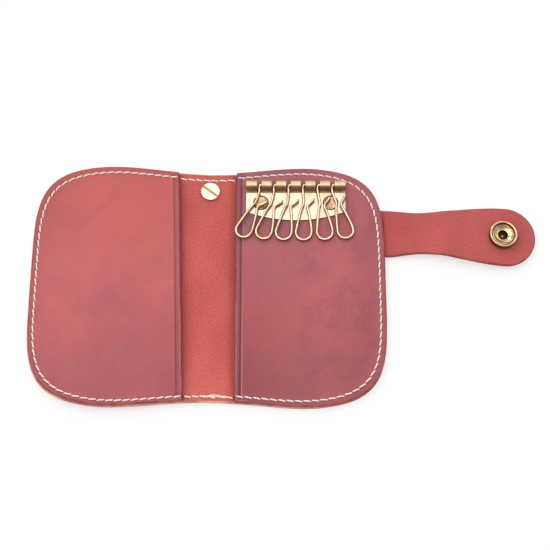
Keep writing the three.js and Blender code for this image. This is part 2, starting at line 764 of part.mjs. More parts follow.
const holder = new THREE.Group();
const right = frame(holder, -COVER_WIDTH / 2, 0, SHELL_THICKNESS);
piece(right, 'right_cover', rightCover(), suede);
piece(right, 'right_pocket_panel', rightPanel(), smoothLeather);
piece(right, 'seam_thread_right', seamThread(rightMouth), thread);

const plate = frame(right, PLATE_CENTRE_X, PLATE_Y, PANEL_TOP);
piece(plate, 'key_plate', keyPlate(), brass);
for (const [name, side] of [['left', -1], ['right', 1]]) {
  const rivet = frame(plate, rivetX(side), -RIVET_DROP, 0);
  piece(rivet, `plate_rivet_${name}`, plateRivet(), copperBrass);
  piece(rivet, `rivet_washer_${name}`, rivetWasher(), brass);
}
HOOK_LEAN_DEGREES.forEach((lean, index) => {
  const pivot = frame(plate, slotX(index), 0, ROLL_RADIUS);
  const hook = piece(pivot, `key_hook_${index + 1}`, keyHook(lean), wireBrass);
  hook.rotation.x = hookDip();
});

const spineFrame = frame(right, 0, 0, 0, LEFT_RISE);
piece(spineFrame, 'spine', spine(), suede);
piece(spineFrame, 'seam_thread_spine_top', spineThread(1), thread);
piece(spineFrame, 'seam_thread_spine_bottom', spineThread(-1), thread);
const screwFrame = frame(spineFrame, -SPINE_WIDTH / 2, screwY(), 0);
piece(screwFrame, 'spine_screw', spineScrew(), brass);
piece(screwFrame, 'screw_post', screwPost(), brass);

const left = frame(spineFrame, -SPINE_WIDTH, 0, 0);
piece(left, 'left_cover', leftCover(), suede);
piece(left, 'left_pocket_panel', mirrored(pocketPanel(leftMouth)), smoothLeather);
piece(left, 'seam_thread_left', mirrored(seamThread(leftMouth)), thread);
const studFrame = frame(left, -STUD_X, SNAP_Y, 0);
piece(studFrame, 'snap_stud', snapStud(), brass);
piece(studFrame, 'stud_eyelet', studEyelet(), brass);

const neckFrame = frame(right, STRAP_BEND_X, 0, 0, -STRAP_RISE);
piece(neckFrame, 'strap_neck', strapNeck(), suede);
const endFrame = frame(neckFrame, STRAP_NECK_LENGTH, 0, 0, STRAP_CREST_BEND);
piece(endFrame, 'strap_end', strapEnd(), suede);
const snapFrame = frame(endFrame, SNAP_REACH, SNAP_Y, 0);
piece(snapFrame, 'snap_socket', snapSocket(), brass);
piece(snapFrame, 'snap_cap', snapCap(), brass);

export default holder;
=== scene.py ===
"""Looks of the leather key and card holder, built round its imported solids.

Lengths are in millimetres, and the pieces are drawn on the leather laid out flat: x runs from the right
fold towards the strap, y towards the key plate, and z up from the shell's inner face. lay() bends that flat
layout into its place at rest, in metres.
"""

import json
import math
import random

import bpy
import numpy as np
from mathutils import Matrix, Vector


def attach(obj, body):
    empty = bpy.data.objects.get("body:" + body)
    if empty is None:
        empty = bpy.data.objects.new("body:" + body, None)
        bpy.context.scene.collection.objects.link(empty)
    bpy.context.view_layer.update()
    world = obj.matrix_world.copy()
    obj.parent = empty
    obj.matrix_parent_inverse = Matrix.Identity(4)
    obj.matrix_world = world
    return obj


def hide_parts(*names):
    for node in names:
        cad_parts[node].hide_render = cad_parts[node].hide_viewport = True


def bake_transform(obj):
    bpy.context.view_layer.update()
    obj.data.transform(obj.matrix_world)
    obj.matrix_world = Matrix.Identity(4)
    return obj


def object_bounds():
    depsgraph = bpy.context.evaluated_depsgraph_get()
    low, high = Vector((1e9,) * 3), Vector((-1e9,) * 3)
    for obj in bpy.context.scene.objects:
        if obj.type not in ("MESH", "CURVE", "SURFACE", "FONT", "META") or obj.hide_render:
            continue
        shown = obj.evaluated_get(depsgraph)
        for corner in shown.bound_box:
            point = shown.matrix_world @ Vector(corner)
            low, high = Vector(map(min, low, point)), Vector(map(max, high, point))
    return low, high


MM = 0.001

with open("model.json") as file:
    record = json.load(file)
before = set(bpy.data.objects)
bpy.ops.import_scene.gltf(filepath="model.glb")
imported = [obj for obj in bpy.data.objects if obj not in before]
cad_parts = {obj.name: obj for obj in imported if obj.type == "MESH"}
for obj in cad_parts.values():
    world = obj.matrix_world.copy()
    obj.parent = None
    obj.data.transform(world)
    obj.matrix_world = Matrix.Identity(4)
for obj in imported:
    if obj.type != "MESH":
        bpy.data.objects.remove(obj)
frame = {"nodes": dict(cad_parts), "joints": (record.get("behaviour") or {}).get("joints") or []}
cad_low, cad_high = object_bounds()
joints = {j["name"]: j for j in frame["joints"]}


def joint_place(name):
    return np.array(joints[name]["pos_m"]) / MM


def rest_angle(name):
    """How far a joint is from square to its parent when the case lies open, from its upper limit."""
    return math.radians(90 - joints[name]["range_deg"][1])


# Folds, from the frame
ORIGIN = joint_place("right_fold")
SPINE_WIDTH = float(np.linalg.norm(joint_place("left_fold") - ORIGIN))
ROOT_X = float(joint_place("strap_root_bend")[0] - ORIGIN[0])
CREST_X = ROOT_X + float(np.linalg.norm(joint_place("strap_crest_bend") - joint_place("strap_root_bend")))
LEFT_RISE = rest_angle("right_fold")
STRAP_RISE = rest_angle("strap_root_bend")
CREST_BEND = -rest_angle("strap_crest_bend")
FOLD_REACH = 2.2
FOLD_ZONES = {"right": (-FOLD_REACH, FOLD_REACH),
              "left": (-SPINE_WIDTH + FOLD_REACH, -SPINE_WIDTH - FOLD_REACH)}
ROOT_ZONE = (ROOT_X - 1.0, ROOT_X + 6.0)
CREST_ZONE = (CREST_X - 6.0, CREST_X + 6.0)

# Leather
COVER_WIDTH = 67.3
HALF_HEIGHT = 55.2
OUTLINE_POWER = 4.8
CORNER_START = 0.75
WAIST_DIP = 3.0
WAIST_REACH = 48
SHELL_THICKNESS = 2.0
LEATHER_EDGE = (0.5, 0.4)
SPINE_MIDDLE = -SPINE_WIDTH / 2
COVER_MIDDLE = COVER_WIDTH / 2
NECK_MIDDLE = (ROOT_X + CREST_X) / 2

# Pocket panels
PANEL_THICKNESS = 1.8
SEAT_GAP = 0.2
POCKET_ROOM = 1.2
SEAM_TOP = SEAT_GAP + PANEL_THICKNESS
PANEL_TOP = SEAM_TOP + POCKET_ROOM
PANEL_SLOPE = (3.1, 5.8)
SLOPE_WIDENED = 11
PLATE_SLOPE_Y = (12, 30)
PANEL_RIM = 1.2
PANEL_INSETS = (1.9, 2.1, 2.3, 2.45, 2.6, 2.75, 2.9, 3.05, 3.2, 3.4, 3.6, 3.9,
                4.3, 4.7, 5.2, 5.8, 7.0, 8.5, 10.5, 13, 16, 19, 22)
MOUTH = {"right": 2.4, "left": 2.75}
MOUTH_SLANT = {"right": 0.0, "left": 2.05}
CREASE_INSET = 2.3
CREASE_WIDTH = 0.3
CREASE_DEPTH = 0.22
CREASE_LIP = 0.08
CREASE_LIP_INSET = CREASE_INSET + 2.4 * CREASE_WIDTH

# Dark places, painted shade and painted highlights on the leather: spans over which they fade, and lines as
# their place and width
MOUTH_SHADE = (0.5, 5.0)
SEWN_MARGIN = (1.6, 2.9)
SEWN_DARK = 0.25
MOUTH_MARGIN = (2.1, 2.6)
# Painted shade along the seam's groove.
SEAM_SHADE = 0.17
# Lines of painted highlights, with a little rubbed wear, along the mouth's rim and the crease's lip.
HIGHLIGHT_RIM = (0.45, 0.25)
HIGHLIGHT_LIP = (CREASE_INSET + 0.75, 0.22)
HIGHLIGHT_DOWN = (-10, 45)
HIGHLIGHT_TOP = 0.08
HIGHLIGHT_MORE = 0.3

# Sewing
SEAM_INSET = 2.7
SEAM_DROP = {"left": 0.6, "spine": 0.4, "right": 0.3}
SEAM_GROOVE = 0.14
SEAM_WIDTH = 0.5
SEAM_OVERLAP = 0.5
STITCH_PITCH = 3.5
STITCH_SLANT = 0.2
STITCH_REACH = 0.455
STITCH_RISE = {1: 0.5, -1: 0.3}
STITCH_DIVE = 0.22
PLY_RADIUS = 0.2
PLY_TURNS = 1.5
PLY_SPREAD = 0.85
THREAD_SIDES = 6
HOLE_SIZE = (0.55, 0.4)
HOLE_SIDES = 10
HOLE_LIFT = 0.02
HOLE_DEPTH = 0.3
STRAND_COUNT = 28
STRAND_SPAN = (-11.0, -1.8)
STRAND_SCATTER = (-0.35, 0.5)
STRAND_HEIGHT = 0.45
STRAND_LOWEST = 0.2
STRAND_STEP = 0.4
STRAND_STEPS = (3, 6)
STRAND_TURN = 0.35
STRAND_LIFT = 0.15
STRAND_RADII = (0.17, 0.08)

# Strap
STRAP_ROOT_Y = 24.1
STRAP_END_Y = 21.6
STRAP_ROOT_HALF = 10.8
STRAP_NECK_HALF = 9.5
STRAP_ROOT_FLARE = 14
STRAP_END_RADIUS = 13.4
SNAP_REACH = 25.6
SNAP_SIDES = 80
SNAP_X = CREST_X + SNAP_REACH
STRAP_END_X = SNAP_X + 1.3
STUD_X = -SPINE_WIDTH - (ROOT_X - SNAP_REACH)

# Key plate and hooks
HOOK_LEAN_DEGREES = (-20.2, -13, -6.2, 0.8, 9.2, 17.2)
HOOK_COUNT = len(HOOK_LEAN_DEGREES)
HOOK_PITCH = 6.42
PLATE_X = 28.5
PLATE_Y = HALF_HEIGHT - 10.6
PLATE_HALF = 21.85
PLATE_SIDE_DROP = 11.8
PLATE_DROP = 15.9
PLATE_EDGE = (0.12, 0.1)
SHEET = 0.7
ROLL_RADIUS = 2.4
ROLL_BORE = 0.8
ROLL_PITCH = 0.78
ROLL_STEPS = 56
BARREL_BEVEL = 0.14
BARREL_END = 0.62
SLOT_WIDTH = 1.9
SLOT_REACH = 2.7
WIRE_RADIUS = 0.6
WIRE_SIDES = 14
WIRE_STEPS = 10
HOOK_ARM = 3.3
HOOK_STRAIGHT = 2.9
HOOK_STEM = 9.6
HOOK_LENGTH = 25.3
HOOK_LOOP_LEFT = 3.55
HOOK_LOOP_RIGHT = 3.25
HOOK_LOOP_ROUND = 3.2
HOOK_SHOULDER = (3.05, 9.75)
HOOK_GATE = 1.9
HOOK_TIP = (2.8, 3.1)
RIVET_X = 15.3
RIVET_DROP = 7.6
RIVET_RADIUS = 3.1
RIVET_RIM = (0.3, 0.22)
RIVET_DISH = ((1.55, 0.04), (0, 0.02))
RIVET_BASE = 0.3
RIVET_SHADOW_RING = (RIVET_RADIUS - 0.2, RIVET_RADIUS + 0.4)
RIVET_SHADOW_RING_Z = (-0.1, 0.02)

# Spine screw
LATHE_SIDES = 64
HARDWARE_BASE = SEAT_GAP - 0.15
SCREW_Y = HALF_HEIGHT - WAIST_DIP - 8.6
SCREW_RADIUS = 4.1
SCREW_TOP = SEAT_GAP + 0.9
SCREW_EDGE = (0.1, 0.08)
SCREW_SLOT_WIDTH = 0.9
SCREW_SLOT_DEPTH = 0.45
SCREW_SLOT_ANGLE = math.radians(-37)
POST_CAP_RADIUS = 4.6
POST_CAP_BASE = -1.4
POST_CAP_OUT = -2.2
POST_CAP_CROWN = 0.45

# View and light
IMAGE_WIDTH = 550
FOCAL_PIXELS = 1244
SENSOR = 36.0
CAMERA_TARGET = (-14.3, 5.3, 0)
CAMERA_DISTANCE = 541.5
CAMERA_ELEVATION = 69.5
TOP_BOX = {"size": 1.8, "power": 13.2, "place": (-0.5, -0.1, 1.4)}
BACK_BOX = {"size": 0.3, "power": 1.8, "place": (-0.4, 1.1, 0.85)}
SKY_IN_FRONT = 0.36
SKY_BEHIND = 1.2
FLOOR_HALF = 12.0
FLOOR_GAP = 0.45
FLOOR_GLOW = 0.6


def srgb(red, green, blue):
    """A display colour of 0 to 255 as the linear RGBA that shaders take."""
    def linear(value):
        share = value / 255
        return share / 12.92 if share <= 0.04045 else ((share + 0.055) / 1.055) ** 2.4

    return (linear(red), linear(green), linear(blue), 1.0)


def ease(value, start, end):
    share = np.clip((value - start) / (end - start), 0, 1)
    return share * share * (3 - 2 * share)


def bell(value, centre, width):
    return np.exp(-(((value - centre) / width) ** 2))


# The flat layout and its place at rest


def turned(points, pivot_x, angle, share):
    """Points turned about a line along Y at pivot_x and height 0, each by its share of the angle."""
    x, z = points[:, 0] - pivot_x, points[:, 2]
    cos, sin = np.cos(angle * share), np.sin(angle * share)
    return np.column_stack([pivot_x + x * cos + z * sin, points[:, 1], z * cos - x * sin])


def lay(points):
    """Points of the flat layout, bent at the folds as the case lies open, in metres in the shared frame."""
    flat = np.asarray(points, float).reshape(-1, 3)
    x = flat[:, 0]
    bent = turned(flat, CREST_X, CREST_BEND, ease(x, *CREST_ZONE))
    bent = turned(bent, ROOT_X, -STRAP_RISE, ease(x, *ROOT_ZONE))
    bent = turned(bent, 0, LEFT_RISE, ease(-x, -FOLD_REACH, FOLD_REACH))
    return (bent + ORIGIN) * MM


def spun(points, angle):
    """Points turned in their plane, as pairs of x and y."""
    x, y = np.asarray(points, float)[:, :2].T
    cos, sin = math.cos(angle), math.sin(angle)
    return np.column_stack([x * cos - y * sin, x * sin + y * cos])


def waist_dip(from_spine_middle):
    share = np.minimum(np.abs(from_spine_middle) / WAIST_REACH, 1)
    return WAIST_DIP * (1 + np.cos(np.pi * share)) / 2


def edge_y(x, inset=0.0):
    """Half of a cover's height at x from its fold, with its outline drawn in by an inset."""
    share = np.clip(x / (COVER_WIDTH - inset), 0, 1)
    corner = (1 - share**OUTLINE_POWER) ** (1 / OUTLINE_POWER)
    return (HALF_HEIGHT - inset) * corner - waist_dip(SPINE_WIDTH / 2 + x)


def edge_x(y):
    share = np.clip(np.abs(y) / HALF_HEIGHT, 0, 1)
    return COVER_WIDTH * (1 - share**OUTLINE_POWER) ** (1 / OUTLINE_POWER)


def shell_y(x):
    """Half of the shell's height at any x, from the left cover over the spine to the right cover."""
    if x < -SPINE_WIDTH:
        return float(edge_y(-SPINE_WIDTH - x))
    if x > 0:
        return float(edge_y(x))
    return float(HALF_HEIGHT - waist_dip(x - SPINE_MIDDLE))


def corner_xs(inset, steps, last_angle=0.02):
    """Distances from the fold along a cover's rounded corner and side, close together where it turns."""
    first = math.acos(CORNER_START ** (OUTLINE_POWER / 2))
    angles = np.linspace(first, last_angle, steps)
    return (COVER_WIDTH - inset) * np.cos(angles) ** (2 / OUTLINE_POWER)


def strap_middle(x):
    """The strap leans a little from its root to its end."""
    return STRAP_ROOT_Y + (STRAP_END_Y - STRAP_ROOT_Y) * (x - ROOT_X) / (STRAP_END_X - ROOT_X)


def strap_edge(x, side):
    along = x - ROOT_X
    root = 1 - ease(along, 0, STRAP_ROOT_FLARE)
    end = ease(along, STRAP_ROOT_FLARE, STRAP_END_X - ROOT_X)
    flare = root * (STRAP_ROOT_HALF - STRAP_NECK_HALF) + end * (STRAP_END_RADIUS - STRAP_NECK_HALF)
    return float(strap_middle(x) + side * (STRAP_NECK_HALF + flare))


def from_seam_edge(x, y):
    """Distance of a point of a cover from its three sewn sides, rounded off in the corners."""
    below = np.maximum(edge_y(x) - np.abs(y), 0)
    inside = np.maximum(edge_x(y) - x, 0)
    return below * inside / np.maximum(np.hypot(below, inside), 0.1)


def mouth_x(side, y):
    """How far the mouth of a panel lies from its fold."""
    return MOUTH[side] + MOUTH_SLANT[side] * y / HALF_HEIGHT


# Mesh building blocks: each gives its points and faces


def joined(parts):
    points, faces = [], []
    for part_points, part_faces in parts:
        start = len(points)
        points += [tuple(p) for p in part_points]
        faces += [[start + i for i in face] for face in part_faces]
    return np.array(points, float), faces


def columns_plan(columns):
    """Flat plan from columns of (x, heights, first height used to its right) in order of x."""
    points, faces, rows = [], [], []
    for x, heights, first in columns:
        rows.append((range(len(points), len(points) + len(heights)), first))
        points += [(x, y) for y in heights]
    for (here, first), (there, _) in zip(rows, rows[1:]):
        faces.append([here[first], *there, *reversed(here[first + 1 :])])
    return np.array(points), faces


def ring_faces(rings, count):
    """Faces between neighbours of a number of rings, each of a count of points."""
    faces = []
    for start in range(0, (rings - 1) * count, count):
        for i in range(count):
            a, b = start + i, start + (i + 1) % count
            faces.append([a, b, b + count, a + count])
    return faces


def plan_border(points, faces, splits):
    """Border edges of a plan, its edges on a split line, and each border point's outward step."""
    sides = {(a, b) for face in faces for a, b in zip(face, face[1:] + face[:1])}
    on_split = [any(abs(p[0] - x) < 1e-6 for x in splits) for p in points]
    outline = [(a, b) for a, b in sorted(sides) if (b, a) not in sides]
    border = [(a, b) for a, b in outline if not (on_split[a] and on_split[b])]
    cuts = [(a, b) for a, b in outline if on_split[a] and on_split[b]]
    normals = {}
    for a, b in border:
        along = points[b] - points[a]
        normal = np.array([along[1], -along[0]]) / np.linalg.norm(along)
        normals.setdefault(a, []).append(normal)
        normals.setdefault(b, []).append(normal)
    outward = np.zeros_like(points)
    for index, found in normals.items():
        first, last = found[0], found[-1]
        outward[index] = (first + last) / (1 + max(first @ last, -0.5))
        if on_split[index]:
            outward[index] = (0, np.sign(outward[index][1]))
    return border, cuts, outward


def slab(plan, top, thickness, edge=LEATHER_EDGE, splits=()):
    """A closed slab over a plan, with its top at top(x, y) and edges of (rounding, flat beside it).
    On a split line it ends in a flat cut, where the next piece goes on.
    Returns points, faces and, for each face, 0 for the top, 1 for the rim or 2 for the underside."""
    points, faces = plan
    rounding, flat = edge
    border, cuts, outward = plan_border(points, faces, splits)
    turn = np.linspace(0, np.pi / 2, 4)
    arc = [(rounding * (math.sin(a) - 1), rounding * (math.cos(a) - 1)) for a in turn]
    upper = [(-rounding - flat, 0)] + arc
    profile = upper + [(out, -thickness - down) for out, down in reversed(upper)]
    levels = []
    for out, down in profile:
        at = points + out * outward
        levels.append(np.column_stack([at, top(at[:, 0], at[:, 1]) + down]))
    starts = [level * len(points) for level in range(len(levels))]
    made = [list(face) for face in faces] + [[starts[-1] + i for i in reversed(face)] for face in faces]
    kinds = [0] * len(faces) + [2] * len(faces)
    for high, low in zip(starts, starts[1:]):
        made += [[high + a, low + a, low + b, high + b] for a, b in border]
        kinds += [0 if high == starts[0] else 2 if low == starts[-1] else 1] * len(border)
    made += [[at + a for at in starts] + [at + b for at in reversed(starts)] for a, b in cuts]
    return np.vstack(levels), made, kinds + [1] * len(cuts)


def level_at(height):
    return lambda x, y: np.full(np.shape(x), float(height))


def tube(path, radius, sides):
    """Round wire or thread along a path, with rounded ends."""
    path = np.asarray(path, float)
    radii = np.broadcast_to(np.asarray(radius, float), len(path)).copy()
    tangents = np.gradient(path, axis=0)
    tangents /= np.linalg.norm(tangents, axis=1)[:, None]
    first, last = tangents[0] * radii[0] * 0.5, tangents[-1] * radii[-1] * 0.5
    path = np.vstack([path[0] - first, path, path[-1] + last])
    radii = np.concatenate([[radii[0] * 0.6], radii, [radii[-1] * 0.6]])
    tangents = np.vstack([tangents[:1], tangents, tangents[-1:]])
    side = np.cross(tangents[0], (0.0, 0.0, 1.0))
    if np.linalg.norm(side) < 0.1:
        side = np.cross(tangents[0], (0.0, 1.0, 0.0))
    angles = np.linspace(0, 2 * np.pi, sides, endpoint=False)
    points = []
    for centre, tangent, r in zip(path, tangents, radii):
        side = side - tangent * (side @ tangent)
        side /= np.linalg.norm(side)
        up = np.cross(side, tangent)
        points += [centre + r * (math.cos(a) * side + math.sin(a) * up) for a in angles]
    faces = [list(range(sides)), list(range(len(points) - 1, len(points) - sides - 1, -1))]
    faces += [[a, d, c, b] for a, b, c, d in ring_faces(len(path), sides)]
    return np.array(points), faces


def lathe(profile, x, y, sides=LATHE_SIDES, ring=False):
    """Body of revolution at x, y from [radius, height] pairs, bottom to top along the outside.
    The profile of a ring goes round to its start."""
    points, rings = [], []
    for radius, height in profile:
        start = len(points)
        if radius == 0:
            points.append((x, y, height))
            rings.append([start] * sides)
        else:
            turn = np.linspace(0, 2 * np.pi, sides, endpoint=False)
            points += [(x + radius * math.cos(a), y + radius * math.sin(a), height) for a in turn]
            rings.append(list(range(start, start + sides)))
    faces = []
    for low, high in zip(rings, rings[1:] + rings[:1] if ring else rings[1:]):
        for i in range(sides):
            j = (i + 1) % sides
            corner = [low[i], low[j], high[j], high[i]]
            faces.append(list(dict.fromkeys(corner)))
    return np.array(points), faces


def arc_profile(centre, radii, start, end, steps):
    angles = np.radians(np.linspace(start, end, steps))
    return [[centre[0] + radii[0] * math.cos(a), centre[1] + radii[1] * math.sin(a)] for a in angles]


def smooth_path(points, steps):
    """Centripetal spline through points, the same curve as the wire of the solids."""
    p = np.asarray(points, float)
    p = np.vstack([2 * p[0] - p[1], p, 2 * p[-1] - p[-2]])
    path = []
    for a, b, c, d in zip(p, p[1:], p[2:], p[3:]):
        first, middle, last = (math.sqrt(np.linalg.norm(q - r)) for q, r in ((b, a), (c, b), (d, c)))
        leave = ((b - a) / first - (c - a) / (first + middle) + (c - b) / middle) * middle
        arrive = ((c - b) / middle - (d - b) / (middle + last) + (d - c) / last) * middle
        t = np.linspace(0, 1, steps, endpoint=False)[:, None]
        cubic = 2 * b - 2 * c + leave + arrive
        square = 3 * c - 3 * b - 2 * leave - arrive
        path.append(b + leave * t + square * t**2 + cubic * t**3)
    return np.vstack([*path, p[-2]])


def placed(name, data):
    """A new object in the scene."""
    made = bpy.data.objects.new(name, data)
    bpy.context.scene.collection.objects.link(made)
    return made


def make(name, mesh, materials, body=None, kinds=None, fields=None, sharp=40):
    """A Blender mesh of the flat layout's points, laid in its place and riding on a body."""
    points, faces = mesh
    data = bpy.data.meshes.new(name)
    data.from_pydata(lay(points).tolist(), [], faces)
    for material in materials:
        data.materials.append(material)
    if kinds is not None:
        data.polygons.foreach_set("material_index", kinds)
    data.shade_smooth()
    data.set_sharp_from_angle(angle=math.radians(sharp))
    rest = data.attributes.new("rest", "FLOAT_VECTOR", "POINT")
    rest.data.foreach_set("vector", np.asarray(points, np.float32).ravel())
    normals = np.empty(3 * len(points), np.float32)
    data.vertex_normals.foreach_get("vector", normals)
    # How far each point's surface turns away from straight up at rest; the brasses paint shade on their
    # sides with it.
    turned_away = 1 - np.abs(normals.reshape(-1, 3)[:, 2])
    for field, values in {"turned_away": turned_away, **(fields or {})}.items():
        stored = data.attributes.new(field, "FLOAT", "POINT")
        stored.data.foreach_set("value", np.asarray(values, np.float32))
    piece = placed(name, data)
    if body:
        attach(piece, body)
    return piece


# Materials


class Nodes:
    """Short names for the shader nodes of one tree."""

    def __init__(self, tree):
        self.tree = tree

    def node(self, kind, inputs=None, output=0, **settings):
        """An output of a new node, with values or the outputs of other nodes as its inputs."""
        made = self.tree.nodes.new("ShaderNode" + kind)
        for name, value in settings.items():
            setattr(made, name, value)
        for socket, value in (inputs or {}).items():
            self.feed(made.inputs[socket], value)
        return made.outputs[output]

    def feed(self, socket, value):
        if isinstance(value, bpy.types.NodeSocket):
            self.tree.links.new(value, socket)
        else:
            socket.default_value = value

    def ranged(self, value, low, high, to_low=0.0, to_high=1.0):
        inputs = {"Value": value, "From Min": low, "From Max": high, "To Min": to_low, "To Max": to_high}
        return self.node("MapRange", inputs)

    def sum(self, first, second):
        return self.node("Math", {0: first, 1: second}, operation="ADD")

    def times(self, first, second):
        return self.node("Math", {0: first, 1: second}, operation="MULTIPLY")

    def mix(self, share, first, second):
        return self.node("Mix", {0: share, 6: first, 7: second}, 2, data_type="RGBA")


class Shader(Nodes):
    """A procedural material round one Principled shader. Places are millimetres of the flat layout."""

    def __init__(self, name, constants):
        self.material = bpy.data.materials.new(name)
        self.material.use_nodes = True
        super().__init__(self.material.node_tree)
        self.surface = self.tree.nodes["Principled BSDF"]
        for socket, value in constants.items():
            self.surface.inputs[socket].default_value = value
        self.place = self.node("Attribute", None, "Vector", attribute_name="rest")

    def use_object_places(self):
        """For a node of the frame, which carries no flat layout."""
        inputs = {0: self.node("TexCoord", None, "Object"), 1: (1 / MM, 1 / MM, 1 / MM)}
        self.place = self.node("VectorMath", inputs, operation="MULTIPLY")

    def field(self, name):
        return self.node("Attribute", None, "Fac", attribute_name=name)

    def stretched(self, scales, shift=(0, 0, 0)):
        return self.node("VectorMath", {0: self.place, 1: scales, 2: shift}, operation="MULTIPLY_ADD")

    def noise(self, scales, detail=4.0, roughness=0.55, distortion=0.0, shift=(0, 0, 0)):
        inputs = {"Vector": self.stretched(scales, shift), "Scale": 1.0, "Detail": detail}
        inputs |= {"Roughness": roughness, "Distortion": distortion}
        return self.node("TexNoise", inputs, "Fac")

    def cells(self, scales):
        return self.node("TexVoronoi", {"Vector": self.stretched(scales), "Scale": 1.0}, "Distance")

    def along(self, axis, start, end, most=1.0):
        """A share that grows along an axis of the flat layout, from 0 at the start to most at the end."""
        return self.ranged(self.node("SeparateXYZ", {0: self.place}, axis), start, end, 0.0, most)

    def tinted(self, colour, tints):
        """Colour with broad tints, each given as its largest share, its colour and where it grows."""
        for most, tint, *places in tints:
            share = self.along(*places[0], most)
            for place in places[1:]:
                share = self.times(share, self.along(*place))
            colour = self.mix(share, colour, tint)
        return colour

    def shade(self, colour, roughness, height, depth):
        """Colour, roughness and bumps, from a height of 0 to 1 over a depth in millimetres."""
        bump = self.node("Bump", {"Height": height, "Distance": depth * MM, "Strength": 1.0}, "Normal")
        for socket, value in {"Base Color": colour, "Roughness": roughness, "Normal": bump}.items():
            self.feed(self.surface.inputs[socket], value)
        return self.material


STAIN_SHIFT = (-2.7, 0.32, 0)
STAIN_REACH = (8, 36)
BRUSHED = (0.25, 3.0, 3.0)
EVEN = (0.5, 0.5, 0.5)


def smooth_leather(name, ground, cloud, plum_share, tints):
    """Waxed burgundy grain side: cloudy rose, plum and orange, stains towards the strap, fine pores,
    darker at its margins, with painted shade in its creases and seam and painted highlights, with a little
    rubbed wear, along its mouth."""
    s = Shader(name, {"Specular IOR Level": 0.42})
    clouds = s.ranged(s.noise((0.034, 0.028, 0.03), 3.0, 0.5, 0.6), 0.36, 0.64)
    colour = s.mix(clouds, ground, cloud)
    warm = s.ranged(s.noise((0.021, 0.024, 0.02), 2.0), 0.48, 0.7, 0.0, 0.4)
    colour = s.mix(warm, colour, srgb(192, 82, 72))
    plum = s.ranged(s.noise((0.05, 0.043, 0.05), 4.0, 0.6, 0.9), 0.5, 0.72, 0.0, plum_share)
    colour = s.mix(plum, colour, srgb(146, 72, 88))
    blots = s.ranged(s.noise((0.09, 0.08, 0.09), 6.0, 0.7, 0.3, STAIN_SHIFT), 0.5, 0.62, 0.0, 0.36)
    stains = s.times(blots, s.along("X", *STAIN_REACH))
    colour = s.mix(stains, s.tinted(colour, tints), srgb(126, 58, 74))
    pores = s.noise((1.7, 1.7, 1.7), 5.0, 0.65)
    colour = s.mix(s.ranged(pores, 0.5, 0.75, 0.0, 0.3), colour, srgb(150, 62, 68))
    colour = s.mix(s.field("margin"), colour, srgb(126, 56, 74))
    # Painted shade in the crease and in the seam's groove.
    colour = s.mix(s.field("crease"), colour, srgb(84, 14, 30))
    # Painted highlights, with a little rubbed wear, along the mouth's rim and the crease's lip.
    colour = s.mix(s.field("wear_and_highlight"), colour, srgb(226, 162, 162))
    roughness = s.ranged(s.noise((0.4, 0.4, 0.4), 5.0), 0.3, 0.7, 0.36, 0.54)
    height = s.sum(s.times(s.cells((1.3, 1.3, 1.3)), 0.35), s.times(pores, 0.4))
    return s.shade(colour, roughness, height, 0.035)


def flesh_leather(name, ground, cloud, speckle, streak, tints):
    """Red flesh side, matt and fibrous, darker by its margin field: on the shell, painted shade beside the
    panels' mouths.
    """
    s = Shader(name, {"Specular IOR Level": 0.25, "Sheen Weight": 0.15, "Sheen Roughness": 0.45})
    fibre = s.noise((1.9, 1.9, 1.9), 5.0, 0.75)
    clouds = s.ranged(s.noise((0.06, 0.04, 0.05), 3.0), 0.35, 0.65)
    colour = s.tinted(s.mix(clouds, ground, cloud), tints)
    colour = s.mix(s.ranged(fibre, 0.5, 0.7, 0.0, speckle), colour, srgb(236, 142, 122))
    colour = s.mix(s.ranged(fibre, 0.5, 0.3, 0.0, speckle), colour, srgb(142, 48, 52))
    lines = s.noise((0.28, 1.1, 0.6), 5.0, 0.65)
    colour = s.mix(s.ranged(lines, 0.42, 0.68, 0.0, streak), colour, srgb(164, 70, 68))
    # Painted shade beside the panels' mouths, where the shell carries a margin field.
    colour = s.mix(s.times(s.field("margin"), 0.4), colour, srgb(134, 50, 54))
    return s.shade(colour, s.ranged(fibre, 0.3, 0.7, 0.78, 0.95), fibre, 0.16)


def cut_edge(name, raw, burnished, start, end):
    """Cut edge of the leather: pressed fibres in layers, rubbed pale where it is worn.
    Its dark, light and worn colours go over from raw to burnished leather between two places along X."""
    s = Shader(name, {"Specular IOR Level": 0.35})
    share = s.along("X", start, end)
    dark, light, worn = (s.mix(share, *pair) for pair in zip(raw, burnished))
    layers = s.noise((0.35, 0.35, 4.0), 4.0, 0.6)
    colour = s.mix(s.ranged(layers, 0.35, 0.65), dark, light)
    wear_and_highlight = s.noise((0.16, 0.16, 0.5), 3.0)
    colour = s.mix(s.ranged(wear_and_highlight, 0.42, 0.62, 0.0, 0.85), colour, worn)
    return s.shade(colour, s.ranged(layers, 0.3, 0.7, 0.5, 0.75), layers, 0.06)


def brass(name, light, deep, roughness, brushed=EVEN, rim=0.0, frame_node=False):
    """Brass with cloudy tarnish, fine scratches along one direction, and painted shade and dark reflections
    in patina brown on its steep sides.
    """
    s = Shader(name, {"Metallic": 1.0})
    if frame_node:
        s.use_object_places()
    tarnish = s.ranged(s.noise((0.45, 0.45, 0.45), 4.0, 0.6), 0.42, 0.72, 0.0, 0.75)
    scratches = s.noise(brushed, 5.0, 0.7)
    colour = s.mix(tarnish, light, deep)
    colour = s.mix(s.ranged(scratches, 0.58, 0.8, 0.0, 0.35), colour, deep)
    # Painted shade and dark reflections: patina brown where the surface turns away from straight up.
    colour = s.mix(s.ranged(s.field("turned_away"), 0.1, 0.6, 0.0, rim), colour, srgb(96, 60, 32))
    rough = s.sum(s.ranged(scratches, 0.3, 0.7, roughness - 0.06, roughness + 0.06), s.times(tarnish, 0.06))
    return s.shade(colour, rough, scratches, 0.006)


